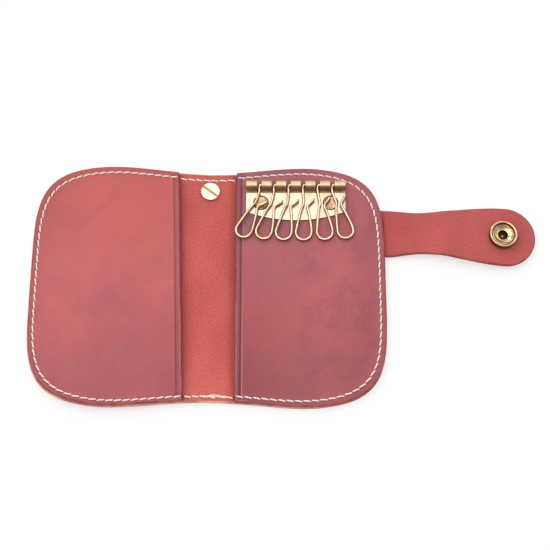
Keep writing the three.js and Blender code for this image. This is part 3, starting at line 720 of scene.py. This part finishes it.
def thread_material():
    """Waxed cream thread, a little darker in places."""
    s = Shader("cream_thread", {"Specular IOR Level": 0.3, "Sheen Weight": 0.2})
    lint = s.noise((3.0, 3.0, 3.0), 4.0)
    colour = s.mix(s.ranged(lint, 0.4, 0.7), srgb(252, 238, 224), srgb(238, 214, 198))
    return s.shade(colour, s.ranged(lint, 0.3, 0.7, 0.7, 0.9), lint, 0.05)


def dark_hole_material():
    # Painted shade in the pits of the stitch holes.
    s = Shader("stitch_hole", {"Specular IOR Level": 0.1})
    ragged = s.noise((4.0, 4.0, 4.0), 3.0)
    return s.shade(s.mix(ragged, srgb(70, 20, 30), srgb(104, 36, 42)), 0.9, ragged, 0.05)


LEFT_TINTS = [(0.34, srgb(180, 68, 56), ("Y", 10, 48)),
              (0.36, srgb(134, 62, 76), ("Y", -5, -45)),
              (0.3, srgb(140, 56, 60), ("X", -60, -86), ("Y", -30, 10)),
              (0.3, srgb(138, 54, 66), ("X", -SPINE_WIDTH - 16, -SPINE_WIDTH - 3), ("Y", 0, -35))]
RIGHT_TINTS = [(0.45, srgb(132, 58, 62), ("Y", 0, -45)),
               (0.55, srgb(118, 36, 46), ("X", 32, 4), ("Y", 20, -35)),
               (0.35, srgb(128, 72, 86), ("X", 44, 66)),
               (0.42, srgb(106, 78, 90), ("Y", 17, 26), ("X", 43, 30))]
# The spine's second tint is painted shade along the right panel's mouth.
SPINE_TINTS = [(0.35, srgb(226, 120, 104), ("Y", -22, -48)),
               (0.35, srgb(100, 30, 30), ("X", MOUTH["right"] - 2.6, MOUTH["right"] + 0.2))]
STRAP_TINTS = [(0.3, srgb(150, 58, 54), ("X", 92, 68))]
LEFT_GRAIN = smooth_leather("left_grain_leather", srgb(173, 80, 84), srgb(187, 86, 86), 0.4, LEFT_TINTS)
RIGHT_GRAIN = smooth_leather("right_grain_leather", srgb(163, 80, 87), srgb(176, 85, 88), 0.3,
                             RIGHT_TINTS)
SUEDE = flesh_leather("red_flesh_leather", srgb(182, 79, 76), srgb(198, 91, 84), 0.75, 0.1, SPINE_TINTS)
STRAP_FLESH = flesh_leather("strap_flesh_leather", srgb(174, 80, 79), srgb(188, 88, 86), 0.34, 0.4,
                            STRAP_TINTS)
TAN = [srgb(178, 100, 82), srgb(206, 134, 108), srgb(228, 178, 150)]
BURGUNDY = [srgb(122, 48, 50), srgb(152, 70, 66), srgb(168, 88, 78)]
PLUM = [srgb(118, 46, 54), srgb(148, 66, 68), srgb(172, 90, 84)]
SHELL_EDGE = cut_edge("shell_cut_edge", TAN, BURGUNDY, COVER_MIDDLE - 10, COVER_WIDTH - 4)
PANEL_EDGE = cut_edge("panel_burnished_edge", PLUM, BURGUNDY, -COVER_WIDTH, COVER_WIDTH)
THREAD = thread_material()
STITCH_HOLE = dark_hole_material()
PLATE_BRASS = brass("plate_brass", srgb(236, 212, 190), srgb(212, 180, 136), 0.3, BRUSHED, 0.6)
# A darker copy of the plate's brass for the rolled barrels: painted shade.
SHADED_BARREL_BRASS = brass("barrel_brass_painted_shade", srgb(218, 188, 154), srgb(188, 148, 104), 0.34, BRUSHED, 0.65)
SCREW_BRASS = brass("screw_brass", srgb(240, 226, 206), srgb(222, 198, 168), 0.28, BRUSHED, 0.6)
WIRE_BRASS = brass("wire_brass", srgb(234, 208, 174), srgb(196, 160, 118), 0.22, EVEN, 1.0)
SNAP_BRASS = brass("snap_brass", srgb(242, 210, 168), srgb(186, 142, 96), 0.12, EVEN, 0.95)
COPPER = brass("rivet_copper", srgb(208, 164, 132), srgb(162, 114, 84), 0.3, EVEN, 0.6)
# Dull brass: the left rivet's own tarnish, and painted shade in the screw's slot and on the snap socket.
DULL_AND_SHADE_BRASS = brass("dull_brass_and_painted_shade", srgb(190, 156, 112), srgb(132, 96, 60), 0.32, EVEN, 0.6)
# Dark brass of painted shadow, in the gap round the rivets and in the snap socket's hole.
SHADOW_BRASS = brass("painted_shadow_brass", srgb(70, 50, 34), srgb(40, 28, 20), 0.5)
INNER_BRASS = brass("inner_brass", srgb(214, 180, 120), srgb(150, 112, 64), 0.35, frame_node=True)


# Leather shell


def spread(start, end, step):
    return list(np.linspace(start, end, max(2, round(abs(end - start) / step) + 1)))


def cover_columns(side, rest):
    """Columns of the shell from the middle of the spine over a fold, and then at the rest of the xs."""
    start, end = FOLD_ZONES[side]
    xs = spread(SPINE_MIDDLE, start, 1.5) + spread(start, end, 0.4) + rest
    return [(x, [-shell_y(x), shell_y(x)], 0) for x in sorted(set(xs))]


def left_shell_plan():
    corner_x = -SPINE_WIDTH - CORNER_START * COVER_WIDTH
    rest = spread(FOLD_ZONES["left"][1], corner_x, 2.5) + [-SPINE_WIDTH - x for x in corner_xs(0, 34)]
    return columns_plan(cover_columns("left", rest))


def right_shell_plan():
    return columns_plan(cover_columns("right", spread(FOLD_ZONES["right"][1], COVER_MIDDLE, 2.5)))


def strap_columns(xs):
    return [(x, [strap_edge(x, -1), strap_edge(x, 1)], 0) for x in sorted(set(xs))]


def strap_root_plan():
    """The right cover's outer half with the start of the strap."""
    low_y, high_y = strap_edge(COVER_WIDTH, -1), strap_edge(COVER_WIDTH, 1)
    last_angle = math.asin((low_y / HALF_HEIGHT) ** (OUTLINE_POWER / 2))
    leave_x = float(edge_x(high_y))
    xs = spread(COVER_MIDDLE, CORNER_START * COVER_WIDTH, 2.5) + [leave_x]
    columns = []
    for x in sorted({*xs, *corner_xs(0, 34, last_angle)}):
        high = strap_edge(x, 1) if x >= leave_x else shell_y(x)
        columns.append((x, [-shell_y(x), high], 0))
    side_x = columns[-1][0]
    columns[-1] = (side_x, [-low_y, strap_edge(side_x, -1), strap_edge(side_x, 1)], 1)
    strap_xs = spread(side_x, ROOT_ZONE[1], 0.5)[1:] + spread(ROOT_ZONE[1], NECK_MIDDLE, 1.5)[1:]
    return columns_plan(columns + strap_columns(strap_xs))


def strap_end_plan():
    crest_start, crest_end = CREST_ZONE
    xs = spread(NECK_MIDDLE, crest_start, 1.0) + spread(crest_start, crest_end, 0.6)
    columns = strap_columns(xs + spread(crest_end, STRAP_END_X, 1.5))
    for angle in np.radians(np.linspace(5, 87, 26)):
        half = STRAP_END_RADIUS * math.cos(angle)
        x = STRAP_END_X + STRAP_END_RADIUS * math.sin(angle)
        columns.append((x, [STRAP_END_Y - half, STRAP_END_Y + half], 0))
    return columns_plan(columns)


def shell_piece(name, plan, splits, materials, replaced):
    """A stretch of the shell, bent at its folds as it lies at rest, darker beside the panels' mouths with
    painted shade and a little burnish.
    """
    points, faces, kinds = slab(plan, level_at(0), SHELL_THICKNESS, splits=splits)
    x, y, z = points.T
    from_mouth = np.minimum(MOUTH["right"] - x, x + SPINE_WIDTH + mouth_x("left", y))
    beside_panel = (x < COVER_MIDDLE) & (z > -SHELL_THICKNESS / 2)
    # Painted shade, with a little burnish, on the shell's inner face beside the panels' mouths.
    fields = {"margin": (1 - ease(from_mouth, *MOUTH_SHADE)) * beside_panel}
    piece = make(name, (points, faces), materials, None, kinds, fields)
    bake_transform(piece)
    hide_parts(*replaced)


def leather_shell():
    covers = [SUEDE, SHELL_EDGE, LEFT_GRAIN]
    strap = [STRAP_FLESH, SHELL_EDGE, LEFT_GRAIN]
    shell_piece("shell_left", left_shell_plan(), [SPINE_MIDDLE], covers,
                ["left_cover"])
    shell_piece("shell_right", right_shell_plan(), [SPINE_MIDDLE, COVER_MIDDLE], covers,
                ["spine"])
    shell_piece("shell_strap_root", strap_root_plan(), [COVER_MIDDLE, NECK_MIDDLE], strap,
                ["right_cover"])
    shell_piece("shell_strap_end", strap_end_plan(), [NECK_MIDDLE], strap,
                ["strap_neck", "strap_end"])


# Pocket panels, drawn from their own fold and then put on the right or mirrored to the left


def on_side(side, mesh):
    points, faces = mesh
    if side == "right":
        return points, faces
    return points * (-1, 1, 1) - (SPINE_WIDTH, 0, 0), [face[::-1] for face in faces]


def sewn_half(side, sign, inset, mouth_inset):
    """Half of a panel's sewn edge, from the top (1) or bottom (-1) end of its mouth to its outer side."""
    start = mouth_x(side, sign * HALF_HEIGHT) + mouth_inset
    along = np.linspace(start, CORNER_START * (COVER_WIDTH - inset), 16)[:-1]
    xs = np.concatenate([along, corner_xs(inset, 26)])
    return np.column_stack([xs, sign * edge_y(xs, inset)])


def sewn_edge(side, inset, mouth_inset):
    """A panel's sewn edge drawn in by an inset, from the bottom end of its mouth round to the top end."""
    bottom, top = (sewn_half(side, sign, inset, mouth_inset) for sign in (-1, 1))
    return np.vstack([bottom, top[::-1]])


def panel_ring(side, inset, margin):
    """A panel's outline drawn in by an inset, counterclockwise from the bottom end of its mouth.
    The margin is what its sewn sides leave of the shell's own edge."""
    sewn = sewn_edge(side, inset, inset - margin)
    ys = np.linspace(sewn[-1, 1], sewn[0, 1], 42)[1:-1]
    return np.vstack([sewn, np.column_stack([mouth_x(side, ys) + inset - margin, ys])])


def panel_plan(side, margin):
    insets = [margin, PANEL_RIM + margin, *PANEL_INSETS]
    rings = [panel_ring(side, inset, margin) for inset in insets]
    count = len(rings[0])
    last = (len(rings) - 1) * count
    return np.vstack(rings), ring_faces(len(rings), count) + [list(range(last, last + count))]


def panel_lines(side, x, y):
    """Distance from a panel's mouth, and how near a point lies to its crease and to its row of stitches."""
    from_mouth = x - mouth_x(side, y)
    crease = bell(from_mouth, CREASE_INSET, CREASE_WIDTH)
    seam = bell(from_seam_edge(x, y + SEAM_DROP[side]), SEAM_INSET, SEAM_WIDTH)
    return from_mouth, crease, seam


def panel_top(side, x, y):
    """Height of a panel's face. It rises off the seam over a wide slope, but quickly under the key plate,
    which lies flat, and it is pressed in along its crease and its seam."""
    plate = ease(y, *PLATE_SLOPE_Y) if side == "right" else 0
    slope_end = PANEL_SLOPE[1] + SLOPE_WIDENED * (1 - plate)
    rise = POCKET_ROOM * ease(from_seam_edge(x, y), PANEL_SLOPE[0], slope_end)
    from_mouth, crease, seam = panel_lines(side, x, y)
    lip = bell(from_mouth, CREASE_LIP_INSET, CREASE_WIDTH)
    return SEAM_TOP + rise - (CREASE_DEPTH * crease - CREASE_LIP * lip) - SEAM_GROOVE * seam


def pocket_panel(side, grain, shell_margin, mouth_dark, crease_shade, lip_highlight):
    """A panel, dark along its edges, with painted shade in its crease and seam and painted highlights, with
    a little rubbed wear, along its mouth, more so low down.
    """
    plan = panel_plan(side, shell_margin)
    points, faces, kinds = slab(plan, lambda x, y: panel_top(side, x, y), PANEL_THICKNESS)
    x, y, _ = points.T
    from_mouth, crease, seam = panel_lines(side, x, y)
    sewn_margin = SEWN_DARK * (1 - ease(from_seam_edge(x, y), *SEWN_MARGIN))
    mouth_margin = mouth_dark * (1 - ease(from_mouth, *MOUTH_MARGIN))
    # Painted highlights, with a little rubbed wear, at the mouth's rim and the crease's lip, more so low
    # down.
    lines = bell(from_mouth, *HIGHLIGHT_RIM) + lip_highlight * bell(from_mouth, *HIGHLIGHT_LIP)
    # The crease field is painted shade in the crease and the seam's groove.
    fields = {"margin": np.maximum(sewn_margin, mouth_margin),
              "crease": np.maximum(crease_shade * crease, SEAM_SHADE * seam),
              "wear_and_highlight": lines * (HIGHLIGHT_TOP + HIGHLIGHT_MORE * ease(-y, *HIGHLIGHT_DOWN))}
    piece = make(f"pocket_panel_{side}", on_side(side, (points, faces)), [grain, PANEL_EDGE, SUEDE],
                 f"{side}_body", kinds, fields)
    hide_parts(f"{side}_pocket_panel")


# Sewing


def even_points(path, pitch):
    """Points evenly along a path, about a pitch apart."""
    path = np.asarray(path, float)
    lengths = np.concatenate([[0], np.cumsum(np.linalg.norm(np.diff(path, axis=0), axis=1))])
    stops = np.linspace(0, lengths[-1], max(2, round(lengths[-1] / pitch) + 1))
    return np.column_stack([np.interp(stops, lengths, path[:, axis]) for axis in range(path.shape[1])])


def stitch(start, end, face):
    """Two twisted plies from hole to hole, slanted across the seam and diving in at both ends.
    They lie on the inner face of the leather (1) or on its outer face (-1)."""
    along = (end - start) / np.linalg.norm(end - start)
    across = np.array([-along[1], along[0], 0])
    shares = np.linspace(0, 1, 11)
    reach = 0.5 + STITCH_REACH * (2 * shares - 1)
    middle = start + np.outer(reach, end - start) + np.outer(STITCH_SLANT * (1 - 2 * shares), across)
    arch = np.sqrt(np.sin(np.pi * np.clip(shares, 0.005, 0.995)))
    middle[:, 2] += face * (STITCH_RISE[face] * arch - STITCH_DIVE)
    plies = []
    for phase in (0, math.pi):
        turn = phase + 2 * math.pi * PLY_TURNS * shares
        offset = np.outer(np.cos(turn), across) + np.outer(np.sin(turn), (0, 0, 1))
        plies.append(tube(middle + PLY_SPREAD * PLY_RADIUS * offset, PLY_RADIUS, THREAD_SIDES))
    return joined(plies)


def stitch_hole(start, end, face):
    """Pit of the hole where a stitch dives into the leather, dark with painted shade."""
    along = (end - start) / np.linalg.norm(end - start)
    across = face * np.array([-along[1], along[0], 0])
    turn = np.linspace(0, 2 * np.pi, HOLE_SIDES, endpoint=False)
    ring = start + np.outer(HOLE_SIZE[0] * np.cos(turn), along)
    ring = ring + np.outer(HOLE_SIZE[1] * np.sin(turn), across)
    points = np.vstack([ring + (0, 0, face * HOLE_LIFT), start - (0, 0, face * HOLE_DEPTH)])
    pit = [[(i + 1) % HOLE_SIDES, i, HOLE_SIDES] for i in range(HOLE_SIDES)]
    return points, [list(range(HOLE_SIDES))] + pit


def seam_meshes(path):
    """Stitches and holes of a seam on the leather's inner face and on the shell's outer face."""
    inner = even_points(path, STITCH_PITCH)
    outer = inner * (1, 1, 0) - (0, 0, SHELL_THICKNESS)
    rows = [(a, b, face) for row, face in ((inner, 1), (outer, -1)) for a, b in zip(row, row[1:])]
    return joined([stitch(*step) for step in rows]), joined([stitch_hole(*step) for step in rows])


def panel_sewing(side):
    path = sewn_edge(side, SEAM_INSET, SEAM_OVERLAP) - (0, SEAM_DROP[side])
    thread, marks = seam_meshes(np.column_stack([path, panel_top(side, path[:, 0], path[:, 1])]))
    body = f"{side}_body"
    sewn = make(f"stitches_{side}", on_side(side, thread), [THREAD], body)
    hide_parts(f"seam_thread_{side}")
    make(f"stitch_holes_{side}", on_side(side, marks), [STITCH_HOLE], body)


def spine_sewing(end, sign, side):
    """Half of the row across an end of the spine, which bends with the shell at its fold."""
    mouth = mouth_x(side, sign * HALF_HEIGHT)
    start, inward = (mouth, -1) if side == "right" else (-SPINE_WIDTH - mouth, 1)
    xs = np.linspace(start + inward * SEAM_OVERLAP, SPINE_MIDDLE, 12)
    ys = [sign * (shell_y(x) - SEAM_INSET) - SEAM_DROP["spine"] for x in xs]
    thread, marks = seam_meshes(np.column_stack([xs, ys, np.zeros(len(xs))]))
    sewn = make(f"stitches_spine_{end}_{side}", thread, [THREAD])
    holes = make(f"stitch_holes_spine_{end}_{side}", marks, [STITCH_HOLE])
    for piece in (sewn, holes):
        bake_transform(piece)
    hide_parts(f"seam_thread_spine_{end}")


def loose_ends():
    """Frayed ends of the thread where the seam was finished, along the bottom of the spine."""
    chance = random.Random(7)
    strands = []
    for _ in range(STRAND_COUNT):
        x, z = chance.uniform(*STRAND_SPAN), STRAND_HEIGHT
        y = SEAM_INSET - shell_y(x) - SEAM_DROP["spine"] + chance.uniform(*STRAND_SCATTER)
        heading = chance.uniform(-STRAND_TURN, STRAND_TURN)
        path = [(x, y, z)]
        for _ in range(chance.randint(*STRAND_STEPS)):
            heading += chance.uniform(-STRAND_TURN, STRAND_TURN)
            x += STRAND_STEP * math.cos(heading)
            y += STRAND_STEP * math.sin(heading)
            z = max(STRAND_LOWEST, z + chance.uniform(-STRAND_LIFT, STRAND_LIFT))
            path.append((x, y, z))
        strands.append(tube(path, np.linspace(*STRAND_RADII, len(path)), THREAD_SIDES))
    make("loose_thread_ends", joined(strands), [THREAD], "spine_body")


# Key plate, rivets and hooks


def slot_x(index):
    return PLATE_X + (index - (HOOK_COUNT - 1) / 2) * HOOK_PITCH


def barrel_profile():
    """Side view of the sheet that is rolled round the wire: matching outer and inner points of (y, z)."""
    turns = (ROLL_RADIUS - SHEET - ROLL_BORE) / ROLL_PITCH
    shares = np.linspace(0, turns, ROLL_STEPS)
    angles = -np.pi / 2 + 2 * np.pi * shares
    radii = ROLL_RADIUS - ROLL_PITCH * shares
    direction = np.column_stack([np.cos(angles), np.sin(angles)])
    outer = direction * radii[:, None] + (0, ROLL_RADIUS)
    inner = direction * (radii - SHEET)[:, None] + (0, ROLL_RADIUS)
    return np.vstack([[(-SLOT_REACH, 0)], outer]), np.vstack([[(-SLOT_REACH, SHEET)], inner])


def barrel(left, right):
    """One rolled tongue of the plate, with bevelled ends."""
    outer, inner = barrel_profile()
    middle = (outer + inner) / 2
    ends = [(left, BARREL_END), (left + BARREL_BEVEL, 1), (right - BARREL_BEVEL, 1), (right, BARREL_END)]
    rings = []
    for x, keep in ends:
        loop = np.vstack([middle + (outer - middle) * keep, (middle + (inner - middle) * keep)[::-1]])
        rings.append(np.column_stack([np.full(len(loop), x), loop + (PLATE_Y, PANEL_TOP)]))
    count = len(rings[0])
    last = (len(rings) - 1) * count
    caps = [[i, i + 1, count - 2 - i, count - 1 - i] for i in range(len(outer) - 1)]
    faces = ring_faces(len(rings), count) + [cap[::-1] for cap in caps]
    return np.vstack(rings), faces + [[last + i for i in cap] for cap in caps]


def plate_plan():
    sag = PLATE_DROP - PLATE_SIDE_DROP
    radius = (PLATE_HALF**2 + sag**2) / (2 * sag)
    columns = []
    for x in np.linspace(-PLATE_HALF, PLATE_HALF, 41):
        low = radius - PLATE_DROP - math.sqrt(radius**2 - x**2)
        columns.append((PLATE_X + x, [PLATE_Y + low, PLATE_Y - SLOT_REACH], 0))
    return columns_plan(columns)


def key_plate():
    top = level_at(PANEL_TOP + SHEET)
    points, faces, _ = slab(plate_plan(), top, SHEET, PLATE_EDGE)
    slots = [slot_x(index) + side * SLOT_WIDTH / 2 for index in range(HOOK_COUNT) for side in (-1, 1)]
    stops = [PLATE_X - PLATE_HALF, *slots, PLATE_X + PLATE_HALF]
    barrels = [barrel(left, right) for left, right in zip(stops[::2], stops[1::2])]
    points, made = joined([(points, faces), *barrels])
    # The barrels take the darker copy of the brass as painted shade.
    kinds = (np.arange(len(made)) >= len(faces)).astype(int)
    plate = make("key_plate_sheet", (points, made), [PLATE_BRASS, SHADED_BARREL_BRASS],
                 "right_body", kinds)
    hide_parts("key_plate")


def plate_rivet(side, sign, metal):
    """Dished rivet head in its countersunk seat, with a dark ring of painted shadow in the gap round it."""
    x, y, z = PLATE_X + sign * RIVET_X, PLATE_Y - RIVET_DROP, PANEL_TOP + SHEET
    profile = [[0, z - RIVET_BASE], [RIVET_RADIUS, z - RIVET_BASE]]
    profile += arc_profile((RIVET_RADIUS - RIVET_RIM[0], z), RIVET_RIM, 0, 150, 7)
    profile += [[radius, z + up] for radius, up in RIVET_DISH]
    rivet = make(f"rivet_head_{side}", lathe(profile, x, y), [metal], "right_body")
    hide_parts(f"plate_rivet_{side}")
    # A flat dark ring of painted shadow in the gap round the rivet head.
    inner, outer = RIVET_SHADOW_RING
    low, high = (z + up for up in RIVET_SHADOW_RING_Z)
    seat = lathe([[inner, low], [outer, low], [outer, high], [inner, high]], x, y, ring=True)
    make(f"rivet_shadow_ring_{side}", seat, [SHADOW_BRASS], "right_body")


def key_hook(index):
    """Sprung wire hook: an arm in the barrel, a stem, a leaning loop and a flared tip."""
    bend = WIRE_RADIUS
    middle = (HOOK_LOOP_RIGHT - HOOK_LOOP_LEFT) / 2
    half = (HOOK_LOOP_RIGHT + HOOK_LOOP_LEFT) / 2
    stem = [(0, bend - HOOK_STEM), (-bend, -bend - HOOK_STEM),
            (-HOOK_SHOULDER[0], -HOOK_STEM - HOOK_SHOULDER[1])]
    loop = arc_profile((middle, HOOK_LOOP_ROUND - HOOK_LENGTH), (half, HOOK_LOOP_ROUND), 180, 360, 5)
    gate = [((HOOK_LOOP_RIGHT + HOOK_GATE) / 2, -HOOK_STEM - HOOK_SHOULDER[1] / 2)]
    gate += [(HOOK_GATE + HOOK_TIP[0] * share, HOOK_TIP[1] * share - HOOK_STEM) for share in (0, 0.5, 1)]
    arm = [(HOOK_ARM, 0), (HOOK_ARM / 2, 0), (bend, 0), (0, -bend), (0, -HOOK_STRAIGHT)]
    bottom = np.array(stem + loop + gate) + (0, HOOK_STRAIGHT)
    leaning = spun(bottom, math.radians(HOOK_LEAN_DEGREES[index])) - (0, HOOK_STRAIGHT)
    path = smooth_path([*arm, *leaning], WIRE_STEPS)
    dip = math.atan2(ROLL_RADIUS - SHEET - WIRE_RADIUS - SEAT_GAP, PLATE_DROP)
    dipped = np.column_stack([path[:, 0], path[:, 1] * math.cos(dip), path[:, 1] * math.sin(dip)])
    wire = tube(dipped + (slot_x(index), PLATE_Y, PANEL_TOP + ROLL_RADIUS), WIRE_RADIUS, WIRE_SIDES)
    hook = make(f"wire_hook_{index + 1}", wire, [WIRE_BRASS], f"hook_{index + 1}_body")
    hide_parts(f"key_hook_{index + 1}")


# Spine screw and press snap


def dome(middle_z, radius, height, end, steps):
    """Profile of a dome that faces down, from its middle to an angle on its side."""
    return [[max(r, 0.0), z] for r, z in arc_profile((0, middle_z), (radius, height), 270, end, steps)]


def spine_screw():
    """Slotted head in two halves on a disc, and the cap of its post on the outer face."""
    floor = SCREW_TOP - SCREW_SLOT_DEPTH
    disc = [[0, HARDWARE_BASE], [SCREW_RADIUS, HARDWARE_BASE], [SCREW_RADIUS, floor], [0, floor]]
    parts = [lathe(disc, SPINE_MIDDLE, SCREW_Y)]
    reach = math.sqrt(SCREW_RADIUS**2 - (SCREW_SLOT_WIDTH / 2) ** 2)
    xs = reach * np.cos(np.linspace(math.pi, 0, 49)[1:-1])
    plan = columns_plan([(x, [SCREW_SLOT_WIDTH / 2, math.sqrt(SCREW_RADIUS**2 - x**2)], 0) for x in xs])
    half, faces, _ = slab(plan, level_at(SCREW_TOP), SCREW_SLOT_DEPTH, SCREW_EDGE)
    for angle in (SCREW_SLOT_ANGLE, SCREW_SLOT_ANGLE + math.pi):
        turned_half = spun(half, angle) + (SPINE_MIDDLE, SCREW_Y)
        parts.append((np.column_stack([turned_half, half[:, 2]]), faces))
    points, faces = joined(parts)
    # The floor of the slot takes the dull brass as painted shade.
    kinds = np.zeros(len(faces), int)
    kinds[2 * LATHE_SIDES : 3 * LATHE_SIDES] = 1
    screw = make("screw_head", (points, faces), [SCREW_BRASS, DULL_AND_SHADE_BRASS],
                 "spine_body", kinds)
    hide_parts("spine_screw")
    profile = dome(POST_CAP_OUT + POST_CAP_CROWN, POST_CAP_RADIUS, POST_CAP_CROWN, 360, 9)
    profile += [[POST_CAP_RADIUS, POST_CAP_BASE], [0, POST_CAP_BASE]]
    cap = lathe(profile, SPINE_MIDDLE, SCREW_Y)
    post = make("screw_post_cap", cap, [SCREW_BRASS], "spine_body")
    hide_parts("screw_post")


def snap_socket():
    """Socket with a rolled rim, the spring's ring, a dish and a deep hole with a rounded lip."""
    base, top = HARDWARE_BASE, 3.4
    side = [[0, base], [5.5, base], [5.95, base + 0.25], [6.1, base + 0.6], [6.1, base + 1.3],
            [5.95, base + 1.45], [5.95, base + 1.7], [6.08, base + 1.85]]
    rim = arc_profile((5.57, top - 0.6), (0.53, 0.6), 0, 180, 11)
    groove = [[5.06, top - 0.9], [5.0, top - 1.45], [4.76, top - 1.45]]
    spring = arc_profile((4.4, top - 1.3), (0.28, 0.3), 0, 180, 8)
    funnel = [[4.05, top - 1.4], [2.95, top - 1.74], [2.84, top - 1.82]]
    lip = arc_profile((2.48, top - 1.85), (0.3, 0.22), 0, 180, 8)
    bore = [[2.1, top - 2.3], [2.05, base + 0.2], [0.45, base + 0.15]]
    # Painted shade on the socket: the side wall, with some patina, and the groove take the dull brass, the
    # hole's wall the shadow brass, and a small dull disc at the hole's floor is a painted glint.
    sections = [(side, 2), (rim, 0), (groove, 2), (spring + funnel + lip, 0), (bore, 1)]
    sections.append(([[0, base + 0.15]], 2))
    profile = [point for points, _ in sections for point in points]
    kinds = np.repeat([kind for points, kind in sections for _ in points][1:], SNAP_SIDES)
    socket = make("snap_socket_shell", lathe(profile, SNAP_X, strap_middle(SNAP_X), SNAP_SIDES),
                  [SNAP_BRASS, SHADOW_BRASS, DULL_AND_SHADE_BRASS], "strap_end_body", kinds, sharp=50)
    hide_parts("snap_socket")


def snap_cap():
    """Domed cap on the strap's outer face."""
    seat = -SHELL_THICKNESS - SEAT_GAP
    profile = dome(seat + 0.1, 6.3, 2.05, 352, 13)
    profile += [[6.3, seat + 0.15], [5.9, seat + 0.25], [0, seat + 0.25]]
    cap = make("snap_cap_dome", lathe(profile, SNAP_X, strap_middle(SNAP_X), SNAP_SIDES), [SNAP_BRASS],
               "strap_end_body")
    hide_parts("snap_cap")


def snap_stud():
    """Stud with a waisted neck on the left cover's outer face."""
    base = -SHELL_THICKNESS
    tip = base - SEAT_GAP - 3.0
    head = arc_profile((1.35, tip + 0.55), (0.6, 0.55), 270, 360, 6)
    neck = [[1.95, tip + 1.0], [1.72, tip + 1.3], [1.7, tip + 1.9], [1.9, tip + 2.3]]
    foot = [[3.2, tip + 2.45], [4.3, tip + 2.5], [4.6, tip + 2.7], [4.6, base], [0, base]]
    profile = [[0, tip], [1.1, tip], *head, *neck, *foot]
    stud = make("snap_stud_post", lathe(profile, STUD_X, strap_middle(SNAP_X)), [SNAP_BRASS],
                "left_body")
    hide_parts("snap_stud")


def inner_hardware():
    """Washers and eyelet inside the pockets keep their solids and get a brass of their own."""
    for name in ("rivet_washer_left", "rivet_washer_right", "stud_eyelet"):
        data = frame["nodes"][name].data
        data.materials.clear()
        data.materials.append(INNER_BRASS)


# Stage


def camera():
    data = bpy.data.cameras.new("camera")
    data.sensor_width = SENSOR
    data.lens = FOCAL_PIXELS / IMAGE_WIDTH * SENSOR
    elevation = math.radians(CAMERA_ELEVATION)
    back = Vector((0, -math.cos(elevation), math.sin(elevation)))
    made = placed("camera", data)
    made.location = (Vector(CAMERA_TARGET) + back * CAMERA_DISTANCE) * MM
    made.rotation_euler = (math.pi / 2 - elevation, 0, 0)
    bpy.context.scene.camera = made


def soft_light(name, size, power, place):
    """A square soft box that faces the middle of the object."""
    data = bpy.data.lights.new(name, "AREA")
    data.size = size
    data.energy = power
    light = placed(name, data)
    light.location = place
    light.rotation_euler = (-Vector(place)).to_track_quat("-Z", "Y").to_euler()


def sky():
    """White surroundings, brighter behind the object than in front of it."""
    world = bpy.data.worlds.new("studio")
    world.use_nodes = True
    nodes = Nodes(world.node_tree)
    behind = nodes.node("SeparateXYZ", {0: nodes.node("TexCoord", None, "Generated")}, "Y")
    background = world.node_tree.nodes["Background"].inputs
    nodes.feed(background["Strength"], nodes.ranged(behind, -1, 1, SKY_IN_FRONT, SKY_BEHIND))
    background["Color"].default_value = (1, 1, 1, 1)
    bpy.context.scene.world = world
    bpy.context.scene.view_settings.view_transform = "Standard"


def lighten(paper, share):
    """White of strength 1 in part of what is seen of the floor, which adds no light to the object."""
    seen = 0.0
    for kind in ("Camera", "Glossy", "Transmission"):
        seen = paper.sum(seen, paper.node("LightPath", None, f"Is {kind} Ray"))
    glow = paper.node("Emission", {"Color": (1, 1, 1, 1), "Strength": 1.0})
    mixed = paper.node("MixShader", {0: paper.times(seen, share), 1: paper.surface.outputs[0], 2: glow})
    paper.feed(paper.tree.nodes["Material Output"].inputs["Surface"], mixed)
    paper.material.cycles.emission_sampling = "NONE"


def white_floor():
    data = bpy.data.meshes.new("floor")
    corners = [(x * FLOOR_HALF, y * FLOOR_HALF, 0) for x, y in ((-1, -1), (1, -1), (1, 1), (-1, 1))]
    data.from_pydata(corners, [], [[0, 1, 2, 3]])
    paper = Shader("floor_paper", {"Specular IOR Level": 0.0})
    paper.use_object_places()
    fibres = paper.noise((0.05, 0.05, 0.05), 3.0)
    white = paper.mix(fibres, srgb(251, 251, 252), srgb(253, 253, 253))
    data.materials.append(paper.shade(white, 0.9, fibres, 0.01))
    lighten(paper, FLOOR_GLOW)
    floor = placed("floor", data)
    floor.location = (0, 0, cad_low.z - FLOOR_GAP * MM)


camera()
soft_light("top_box", **TOP_BOX)
soft_light("back_box", **BACK_BOX)
sky()
white_floor()
leather_shell()
pocket_panel("right", RIGHT_GRAIN, shell_margin=0.15, mouth_dark=0.75, crease_shade=0.85, lip_highlight=1.0)
pocket_panel("left", LEFT_GRAIN, shell_margin=0.45, mouth_dark=0.4, crease_shade=0.5, lip_highlight=0.0)
panel_sewing("right")
panel_sewing("left")
for cover in ("right", "left"):
    spine_sewing("top", 1, cover)
    spine_sewing("bottom", -1, cover)
loose_ends()
key_plate()
plate_rivet("left", -1, DULL_AND_SHADE_BRASS)
plate_rivet("right", 1, COPPER)
for hook_index in range(HOOK_COUNT):
    key_hook(hook_index)
spine_screw()
snap_socket()
snap_cap()
snap_stud()
inner_hardware()
